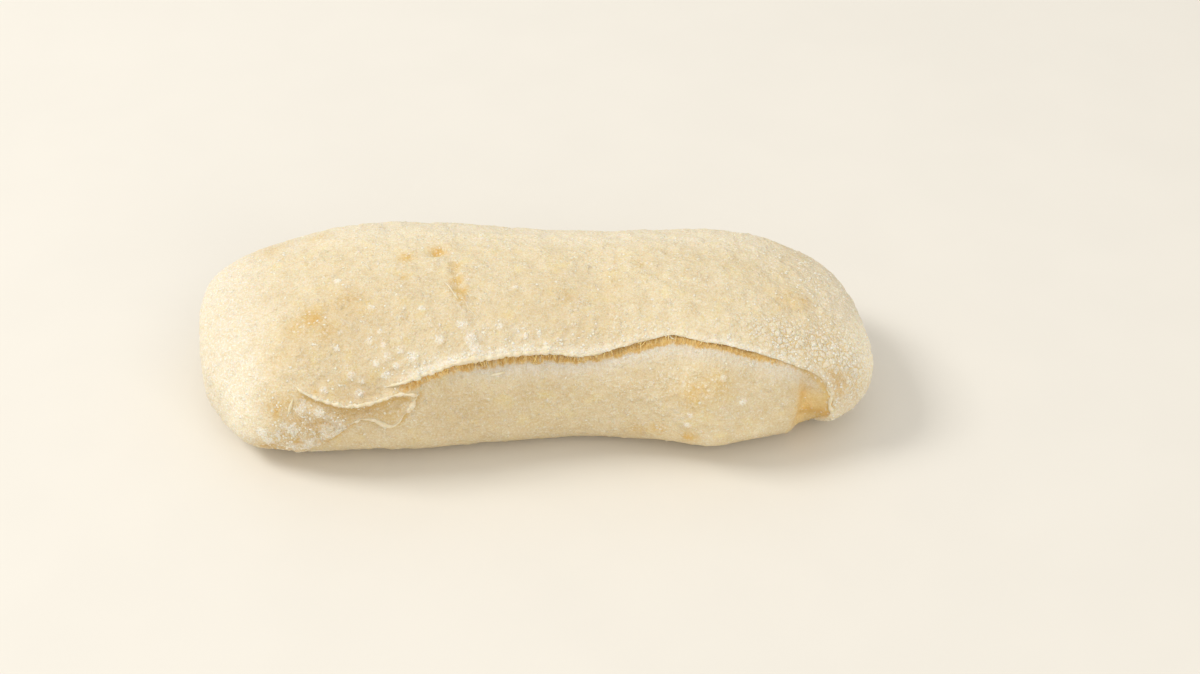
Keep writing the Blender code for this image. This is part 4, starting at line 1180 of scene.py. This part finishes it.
def cells_group():
    """Uneven cells of a given size: the net between them, their domes, and lumps on some of them."""
    tree, inputs, outputs = shader_group(
        "cells", (("Size", 1.5), ("Warp", 0.5), ("Line", 0.1), ("Share", 0.5), ("Seed", 0.0)),
        ("Net", "Dome", "Lump"))
    place = in_millimetres(place_on_object(tree), inputs["Seed"])
    warped = place
    for scale, reach in ((0.9, 1.0), (2.6, 0.5)):
        spread = scaled(noise_colour(place, scale, 1.0), inputs["Warp"] * reach * inputs["Size"])
        warped = vectors("ADD", spread, warped)
    cell = {"Vector": warped, "Scale": 1.0 / inputs["Size"]}
    rim = node(tree, "ShaderNodeTexVoronoi", cell, feature="DISTANCE_TO_EDGE")["Distance"]
    cell = node(tree, "ShaderNodeTexVoronoi", cell)
    draw = node(tree, "ShaderNodeSeparateColor", {"Color": cell["Color"]})
    feed(outputs["Net"], between(rim / inputs["Line"], 1.0, 0.0))
    feed(outputs["Dome"], between(rim, 0.0, 0.32))
    width = between(draw[1], 0.0, 1.0, 0.26, 0.62)
    dome = between(cell["Distance"] / width, 1.0, 0.2)
    feed(outputs["Lump"], dome * maths("LESS_THAN", draw[0], inputs["Share"]))
    return tree


def streak_group():
    """Torn streaks that run across the flap's edge and follow it."""
    tree, inputs, outputs = shader_group("torn_streaks", (("Width", 0.5), ("Length", 3.0), ("Seed", 0.0)),
                                         ("Streak",))
    along = painted_mask(tree, "edge_run") / inputs["Width"]
    across = painted_mask(tree, "edge_gap") / inputs["Length"]
    feed(outputs["Streak"], noise_at(combined(along, across, inputs["Seed"]), 1.0, 3.0, 0.6, 0.3))
    return tree


SHARED_GROUPS = {"fine_grain": grain_group, "mottle": mottle_group, "cells": cells_group,
                 "torn_streaks": streak_group}


def group_in(tree, name, **values):
    """Outputs of a group that all materials share; it is made when it is first asked for."""
    group = bpy.data.node_groups.get(name) or SHARED_GROUPS[name]()
    return node(tree, "ShaderNodeGroup", values, node_tree=group)


def grained(tree, size, seed):
    return group_in(tree, "fine_grain", Size=size, Seed=seed)


def mottled(tree, size, low, high, seed):
    return group_in(tree, "mottle", Size=size, Low=low, High=high, Seed=seed)


def mixed(share, first, second):
    inputs = {"Factor": share, 6: first, 7: second}
    return node(tree_of(*inputs.values()), "ShaderNodeMix", inputs, data_type="RGBA", clamp_factor=True)[2]


def new_material(name, roughness, subsurface):
    """A soft, faintly translucent material, its tree, and the inputs of its shader."""
    material = bpy.data.materials.new(name)
    material.use_nodes = True
    tree = material.node_tree
    shader = tree.nodes["Principled BSDF"].inputs
    for label, value in (("Roughness", roughness), ("Specular IOR Level", 0.25),
                         ("Subsurface Weight", subsurface), ("Subsurface Radius", (1.0, 0.62, 0.30)),
                         ("Subsurface Scale", 0.0016)):
        feed(shader[label], value)
    return material, tree, shader


def bumped(shader, height, distance):
    feed(shader["Normal"], node(height.tree, "ShaderNodeBump",
                                {"Height": height, "Distance": distance})["Normal"])


def crust_material(colours):
    """Pale crust: cream and straw mottling, golden spots, flour, dry cracks and torn crumb."""
    material, tree, shader = new_material("pale_crust", 0.82, 0.2)

    def cells(size, warp, line, share, seed):
        return group_in(tree, "cells", Size=size, Warp=warp, Line=line, Share=share, Seed=seed)

    def streaks(width, length, seed):
        return group_in(tree, "torn_streaks", Width=width, Length=length, Seed=seed)["Streak"]

    def paint(name):
        return painted_mask(tree, name)

    cream, straw, gold, brown = colours.cream, colours.straw, colours.gold, colours.brown
    torn, flour, white = colours.torn, colours.flour, (1.0, 1.0, 1.0, 1.0)
    grain = grained(tree, 0.85, 0.0)
    tone, dust, rough = grain["Tone"], grain["Dust"], grain["Height"]
    small = mottled(tree, 1.5, 0.40, 0.62, 31.0)
    blotchy, soft = small["Mask"], small["Height"]
    net = cells(2.3, 0.60, 0.10, 0.28, 3.0)
    fleck = cells(1.3, 0.5, 0.10, 0.13, 9.0)["Lump"]
    bead = cells(1.25, 0.4, 0.10, 0.62, 17.0)["Lump"]
    crack = cells(1.7, 0.9, 0.14, 0.5, 41.0)["Net"]
    streak, strand = streaks(0.62, 4.0, 0.0), streaks(1.7, 9.0, 4.0)
    depth = paint("broad") * 0.26 + paint("medium") * 0.34 + blotchy * 0.16
    base = mixed(depth + paint("wall") * 0.28, cream, straw)

    # Golden freckles, soft golden clouds and the baked places.
    base = mixed(between(soft, 0.60, 0.69) * 0.26, base, gold)
    base = mixed(paint("baked") * 0.55, base, colours.wheat)
    warm = paint("gold") * (net["Net"] * 0.30 + (blotchy * 0.35 + 0.72))
    base = mixed((warm * (1.0 - bead * 0.4)).clamped(), base, gold)
    base = mixed(paint("pocket") * 0.66, base, gold)
    # The pocket is golden crust; its core is mixed towards the brighter crumb colour as painted light against
    # the shade it lies in.
    base = mixed(paint("pocket") * paint("pocket") * 0.40, base, torn)
    # Painted shade: a golden line beneath the ridge and beneath the hem.
    base = mixed(paint("under") * 0.88, base, gold)
    base = mixed(paint("wrinkle") * 0.62, base, gold)
    # Scorch marks and cracks are baked brown; the pocket's crease is darkened brown as painted shade.
    base = mixed(most(paint("scorch") * 0.8, paint("crease") * 0.70), base, brown)

    # Flour: dust all over, thicker where it is painted, and pale cells between dry cracks.
    crumbs = between(tone, 0.46, 0.58) * between(soft, 0.38, 0.58)
    caked = most(paint("wrinkled") * between(rough, 0.40, 0.60, 0.35, 1.0), paint("wrinkle") * crumbs)
    island = between(net["Net"], 0.8, 0.0, 0.0, 0.80) * between(soft, 0.66, 0.44, 0.55, 1.0)
    flake = (1.0 - crack) * between(soft, 0.40, 0.56, 0.25, 0.70)
    sheet = between(paint("caked") + soft * 0.9, 0.80, 0.94)
    cover = most(
        dust * (paint("floury") * 0.34 + 0.06),
        between(rough, 0.60, 0.68) * 0.75,
        net["Lump"] * 0.34,
        fleck * (paint("floury") * 0.55 + 0.45),
        paint("film") * (dust * 0.35 + 0.42),
        paint("flour") * between(soft, 0.56, 0.42, 0.16, 0.92),
        between(paint("blobs"), 0.15, 0.75) * between(rough, 0.36, 0.52, 0.45, 0.95),
        caked * 0.95,
        paint("blister") * (paint("clumps") * 0.8 + 0.14),
        paint("crackle") * island,
        between(paint("wrinkle"), 0.25, 0.75) * flake,
        paint("lip") * between(soft, 0.60, 0.42, 0.55, 0.95),
        paint("wall_flour") * between(streak, 0.30, 0.62, 0.35, 0.80),
        sheet * between(tone, 0.38, 0.54, 0.62, 1.0))
    bare = (1.0 - paint("crease") * 0.9).clamped()
    for name, share in (("gold", 0.85), ("pocket", 0.85), ("under", 0.75)):
        bare = bare * (1.0 - paint(name) * share).clamped()
    cover = most(cover * bare, bead * between(paint("gold"), 0.15, 0.5) * 0.70)
    base = mixed(cover, base, flour)
    dry = crack * paint("wrinkle") * between(sheet, 0.1, 0.8, 0.75, 0.05)
    base = mixed(most(net["Net"] * paint("crackle"), dry) * 0.80, base, gold)

    # Torn crumb in the hollow, browner to the right.
    right = between(part_of(scaled(place_on_object(tree), PER_METRE), "X"), 15.0, 36.0)
    blotch = mottled(tree, 2.0, 0.46, 0.58, 55.0)["Mask"]
    pale = between(streak * 0.6 + strand * 0.4, 0.47, 0.60, 0.0, 0.85)
    crumb = mixed(between(streak, 0.36, 0.52), brown, torn)
    crumb = mixed(pale * (1.0 - right * 0.6), crumb, cream)
    crumb = mixed(right * 0.35, crumb, brown)
    crumb = mixed(blotch * 0.55, crumb, brown)
    crumb = mixed(between(paint("edge_gap"), -1.5, -0.4, 0.0, 0.34), crumb, brown)
    ragged = paint("torn") * 1.3 + (streak * 1.5 + strand * 1.2)
    base = mixed(between(ragged + blotch * 0.25, 1.75, 2.60), base, crumb)

    # Pits are painted darker and yellower and crests paler, on the grain's tone that also drives the bump:
    # partly a random tone, partly painted shade and highlight. Some broad places get painted shade on a
    # duller tone, others painted light that makes them paler, and the wall's top under the hollow is tinted
    # greyer and darker.
    tint = mixed(between(tone, 0.37, 0.63), (0.93, 0.872, 0.77, 1.0), (1.025, 1.066, 1.14, 1.0))
    # Painted shade on a partly duller tone.
    dull = mixed(paint("dull"), white, (0.84, 0.78, 0.70, 1.0))
    # Painted light: these places are made paler.
    dull = mixed(paint("pale"), dull, (1.14, 1.16, 1.18, 1.0))
    dull = mixed(paint("wall_flour"), dull, (0.86, 0.85, 0.86, 1.0))
    feed(shader["Base Color"], vectors("MULTIPLY", vectors("MULTIPLY", tint, dull), base))
    height = rough * (cover * 0.28 + 0.22) + net["Lump"] * 0.35
    height += soft * (paint("floury") * 0.7 + 0.42)
    height += net["Dome"] * paint("crackle") * 0.50
    height += fleck * 0.22
    height += streak * paint("torn") * 1.2
    height += rough * paint("wrinkle") * 0.9
    bumped(shader, height, 0.00060)
    feed(shader["Roughness"], between(cover, 0.0, 0.8, 0.70, 0.95))
    return material


def flour_material(colours):
    """Loose flour: nearly white, with a little variation from grain to grain."""
    material, tree, shader = new_material("loose_flour", 0.9, 0.3)
    patch = mottled(tree, 0.6, 0.35, 0.65, 3.0)["Mask"]
    feed(shader["Base Color"], mixed(patch, colours.flour, colours.cream))
    bumped(shader, grained(tree, 0.4, 6.0)["Height"], 0.00008)
    return material


def crumb_material(colours):
    """Torn strands of crumb: golden to pale along their length."""
    material, tree, shader = new_material("torn_crumb", 0.7, 0.3)
    patch = mottled(tree, 1.0, 0.42, 0.70, 8.0)["Mask"]
    feed(shader["Base Color"], mixed(patch * 0.30, colours.torn, colours.cream))
    bumped(shader, grained(tree, 0.5, 4.0)["Height"], 0.0001)
    return material


def clump_material(colours):
    """Clumps of flour and dry crust: pale where flour lies thick, straw elsewhere."""
    material, tree, shader = new_material("flour_clump", 0.92, 0.2)
    patch = mottled(tree, 1.3, 0.38, 0.62, 13.0)["Mask"]
    grain = grained(tree, 0.6, 6.0)
    base = mixed(patch * 0.35, colours.flour, colours.cream)
    floury = most(painted_mask(tree, "clumps"), painted_mask(tree, "film"))
    base = mixed(between(floury, 0.7, 0.1, 0.0, 0.12), base, colours.straw)
    feed(shader["Base Color"], scaled(base, between(grain["Tone"], 0.36, 0.64, 0.94, 1.08)))
    bumped(shader, grain["Height"], 0.00030)
    return material


def thread_material(colours):
    """Raised threads of crust: floury on top, straw-coloured where the flour has rubbed off."""
    material, tree, shader = new_material("crust_thread", 0.88, 0.2)
    patch = mottled(tree, 1.6, 0.36, 0.64, 27.0)["Mask"]
    baked = mottled(tree, 2.6, 0.56, 0.70, 33.0)["Mask"]
    base = mixed(patch * 0.7 + 0.3, colours.flour, colours.cream)
    base = mixed(baked * 0.3, base, colours.gold)
    feed(shader["Base Color"], mixed(0.22, base, colours.straw))
    bumped(shader, grained(tree, 0.55, 2.0)["Height"], 0.0002)
    return material


def floor_material(studio):
    """Plain pale floor, barely uneven in tone."""
    material, tree, shader = new_material("pale_floor", 0.4, 0.0)
    patch = mottled(tree, 60.0, 0.3, 0.7, 2.0)["Mask"]
    shade = tuple(value * 0.985 for value in studio.floor[:3]) + (1.0,)
    feed(shader["Base Color"], mixed(patch, studio.floor, shade))
    return material


def loaf_grid(size):
    """Station and turn of every point of the loft."""
    place = stations(size)
    around = np.stack([ring(size, value) for value in place])
    along = np.repeat(place[:, None], around.shape[1], axis=1)
    low = ramp(around, -50.0, -30.0) * fade(around, CORNER_TURN, CORNER_TURN + 12.0)
    return along + bell(along - EDGE_STATION, 0.006) * low * (edge_along(around) - EDGE_STATION), around


class CIABATTA_OT_crust(bpy.types.Operator):
    """Build the loaf's crust with its flap, pocket, ridge and relief."""

    bl_idname = "ciabatta.crust"
    bl_label = "Loaf Crust"
    bl_options = {"REGISTER", "UNDO"}

    def execute(self, context):
        scene = context.scene
        size, crust = scene.ciabatta_loaf, scene.ciabatta_crust
        along, around = loaf_grid(size)
        points, paint, down = loaf_surface(size, along, around)
        half = size.length / 2.0
        tips = np.array([(-half, TIP_DRIFT[0], size.girth_level), (half, TIP_DRIFT[1], size.girth_level)])
        vertices, faces = closed_loft(points, tips)
        mesh = bpy.data.meshes.new("crust_base")
        mesh.from_pydata((vertices - np.array(MIDDLE)).tolist(), [], faces)
        for name, values in paint.items():
            values = np.append(values.ravel(), [values[0].mean(), values[-1].mean()]).astype(np.float32)
            mesh.attributes.new(name, "FLOAT", "POINT").data.foreach_set("value", values)
        down = np.append(down.reshape(-1, 3), [down[0].mean(axis=0), down[-1].mean(axis=0)], axis=0)
        down = np.ascontiguousarray(down, dtype=np.float32)
        mesh.attributes.new("down", "FLOAT_VECTOR", "POINT").data.foreach_set("vector", down.ravel())
        values = {"Blister Height": crust.blister, "Blister Spacing": crust.blister_spacing,
                  "Unevenness": crust.swell, "Ripple Height": crust.ripple, "Grain Height": crust.grain,
                  "Wrinkle Height": crust.wrinkle, "Torn Streaks": crust.streak, "Edge Lumps": crust.lumps,
                  "Seed": crust.seed}
        material = crust_material(scene.ciabatta_colours)
        piece = grown("loaf_crust", mesh, crust_relief_tree(), values, material)
        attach(piece, "root")
        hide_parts("loaf")
        return {"FINISHED"}


def over_crust(name, tree, values, material):
    """Grows a piece over the crust and lets it ride on the loaf's body."""
    piece = grown(name, bpy.data.objects["loaf_crust"].data.copy(), tree, values, material)
    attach(piece, "root")
    return {"FINISHED"}


class CIABATTA_OT_flour(bpy.types.Operator):
    """Dust the crust with loose flour grains."""

    bl_idname = "ciabatta.flour"
    bl_label = "Loose Flour"
    bl_options = {"REGISTER", "UNDO"}

    def execute(self, context):
        flour = context.scene.ciabatta_flour
        values = {"Grain Radius": flour.grain_radius, "Density": flour.density, "Seed": flour.seed}
        return over_crust("flour_grains", scatter_tree(), values,
                          flour_material(context.scene.ciabatta_colours))


class CIABATTA_OT_fringe(bpy.types.Operator):
    """Hang torn strands of crumb from the underside of the flap's edge."""

    bl_idname = "ciabatta.fringe"
    bl_label = "Torn Fringe"
    bl_options = {"REGISTER", "UNDO"}

    def execute(self, context):
        flour = context.scene.ciabatta_flour
        values = {"Strand Radius": flour.strand_radius, "Strand Length": flour.strand_length,
                  "Density": flour.strand_density, "Seed": flour.seed}
        return over_crust("torn_fringe", fringe_tree(), values,
                          crumb_material(context.scene.ciabatta_colours))


class CIABATTA_OT_clumps(bpy.types.Operator):
    """Set clumps of flour on the crust."""

    bl_idname = "ciabatta.clumps"
    bl_label = "Flour Clumps"
    bl_options = {"REGISTER", "UNDO"}

    def execute(self, context):
        flour = context.scene.ciabatta_flour
        values = {"Clump Radius": flour.clump_radius, "Spacing": flour.clump_spacing,
                  "Background": flour.background, "Seed": flour.seed}
        return over_crust("flour_clumps", clump_tree(), values,
                          clump_material(context.scene.ciabatta_colours))


class CIABATTA_OT_threads(bpy.types.Operator):
    """Lay thin threads of crust along the ridge, the hem, the flap's edge and the wrinkles."""

    bl_idname = "ciabatta.threads"
    bl_label = "Crust Threads"
    bl_options = {"REGISTER", "UNDO"}

    def execute(self, context):
        scene = context.scene
        size = scene.ciabatta_loaf
        lines = [(trace(knots), radius, sunk, lumps) for knots, radius, sunk, lumps in THREADS]
        shown = EDGE_TRACE[0] < LIP_THREAD_END
        along, turn = EDGE_TRACE[0][shown], EDGE_TRACE[1][shown]
        turn = turn + LIP_THREAD_RISE / degree_length(size, along, turn)
        lines.append(((along, turn), graded(along, LIP_RADIUS), 0.50, graded(along, LIP_LUMPS)))
        points, edges, rest = [], [], {"radius": [], "sunk": [], "lumps": []}
        for (along, turn), radius, sunk, lumps in lines:
            path, _, _ = loaf_surface(size, along, turn)
            run = run_along(path)
            count = max(int(run[-1] / THREAD_PITCH), 4)
            even = np.linspace(0.0, run[-1], count)
            taper = np.sqrt(ramp(even, -0.0002, THREAD_TAPER) * ramp(run[-1] - even, -0.0002, THREAD_TAPER))
            uneven = [noise.noise(Vector((at * 420.0, 5.0, run[-1] * 900.0))) for at in even]
            taper = taper * (1.0 + 0.9 * np.array(uneven))
            edges += [(len(points) + i, len(points) + i + 1) for i in range(count - 1)]
            placed_at = [np.interp(even, run, path[:, axis]) - MIDDLE[axis] for axis in range(3)]
            points += np.stack(placed_at, 1).tolist()
            for name, value in (("radius", radius), ("sunk", sunk), ("lumps", lumps)):
                value = np.interp(even, run, np.broadcast_to(value, run.shape))
                rest[name].append(value * MM * taper if name == "radius" else value)
        mesh = bpy.data.meshes.new("thread_lines")
        mesh.from_pydata(points, edges, [])
        for name, values in rest.items():
            values = np.concatenate(values).astype(np.float32)
            mesh.attributes.new(name, "FLOAT", "POINT").data.foreach_set("value", values)
        material = thread_material(scene.ciabatta_colours)
        values = {"Lump Scale": 900.0, "Crust": bpy.data.objects["loaf_crust"]}
        piece = grown("crust_threads", mesh, thread_tree(), values, material)
        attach(piece, "root")
        return {"FINISHED"}


class CIABATTA_OT_studio(bpy.types.Operator):
    """Set up the floor, the soft lights and the camera."""

    bl_idname = "ciabatta.studio"
    bl_label = "Studio"
    bl_options = {"REGISTER", "UNDO"}

    def execute(self, context):
        scene = context.scene
        studio = scene.ciabatta_studio
        mesh = bpy.data.meshes.new("floor")
        corners = ((-1, -1), (1, -1), (1, 1), (-1, 1))
        mesh.from_pydata([(x * FLOOR_HALF, y * FLOOR_HALF, 0.0) for x, y in corners], [], [(0, 1, 2, 3)])
        mesh.materials.append(floor_material(studio))
        floor = bpy.data.objects.new("floor", mesh)
        scene.collection.objects.link(floor)
        for name, power, place, size in LAMPS:
            light = bpy.data.lights.new(name, "AREA")
            light.size, light.energy = size, getattr(studio, power)
            lamp = bpy.data.objects.new(name, light)
            lamp.location = place
            lamp.rotation_euler = (-Vector(place)).to_track_quat("-Z", "Y").to_euler()
            scene.collection.objects.link(lamp)
        world = bpy.data.worlds.new("studio")
        world.use_nodes = True
        background = world.node_tree.nodes["Background"].inputs
        feed(background["Color"], BACKGROUND)
        feed(background["Strength"], studio.fill)
        scene.world = world
        scene.view_settings.view_transform = "Standard"
        lens = bpy.data.cameras.new("camera")
        lens.lens, lens.sensor_width = studio.lens, SENSOR_WIDTH
        camera = bpy.data.objects.new("camera", lens)
        forward = Vector((0.0, np.cos(studio.elevation), -np.sin(studio.elevation)))
        camera.location = CAMERA_AIM - MIDDLE - forward * studio.distance
        camera.rotation_euler = forward.to_track_quat("-Z", "Y").to_euler()
        scene.collection.objects.link(camera)
        scene.camera = camera
        return {"FINISHED"}


class CIABATTA_PT_panel(bpy.types.Panel):
    bl_idname = "CIABATTA_PT_panel"
    bl_label = "Ciabatta"
    bl_space_type = "VIEW_3D"
    bl_region_type = "UI"
    bl_category = "Ciabatta"

    def draw(self, context):
        layout = self.layout
        for group, operators in (
            (context.scene.ciabatta_loaf, ()), (context.scene.ciabatta_crust, (CIABATTA_OT_crust,)),
            (context.scene.ciabatta_colours, ()), (context.scene.ciabatta_flour, (
                CIABATTA_OT_threads, CIABATTA_OT_fringe, CIABATTA_OT_clumps, CIABATTA_OT_flour)),
            (context.scene.ciabatta_studio, (CIABATTA_OT_studio,)),
        ):
            box = layout.box()
            for name in group.bl_rna.properties.keys():
                if name not in ("rna_type", "name"):
                    box.prop(group, name)
            for operator in operators:
                box.operator(operator.bl_idname)


SETTINGS = {"ciabatta_loaf": CiabattaLoaf, "ciabatta_crust": CiabattaCrust,
            "ciabatta_colours": CiabattaColours, "ciabatta_flour": CiabattaFlour,
            "ciabatta_studio": CiabattaStudio}
CLASSES = (*SETTINGS.values(), CIABATTA_OT_crust, CIABATTA_OT_threads, CIABATTA_OT_fringe, CIABATTA_OT_clumps,
           CIABATTA_OT_flour, CIABATTA_OT_studio, CIABATTA_PT_panel)


def register():
    for item in CLASSES:
        bpy.utils.register_class(item)
    for name, group in SETTINGS.items():
        setattr(bpy.types.Scene, name, PointerProperty(type=group))


def unregister():
    for name in SETTINGS:
        delattr(bpy.types.Scene, name)
    for item in reversed(CLASSES):
        bpy.utils.unregister_class(item)


def main():
    register()
    bpy.ops.ciabatta.crust()
    bpy.ops.ciabatta.threads()
    bpy.ops.ciabatta.fringe()
    bpy.ops.ciabatta.clumps()
    bpy.ops.ciabatta.flour()
    bpy.ops.ciabatta.studio()


if __name__ == "__main__":
    main()
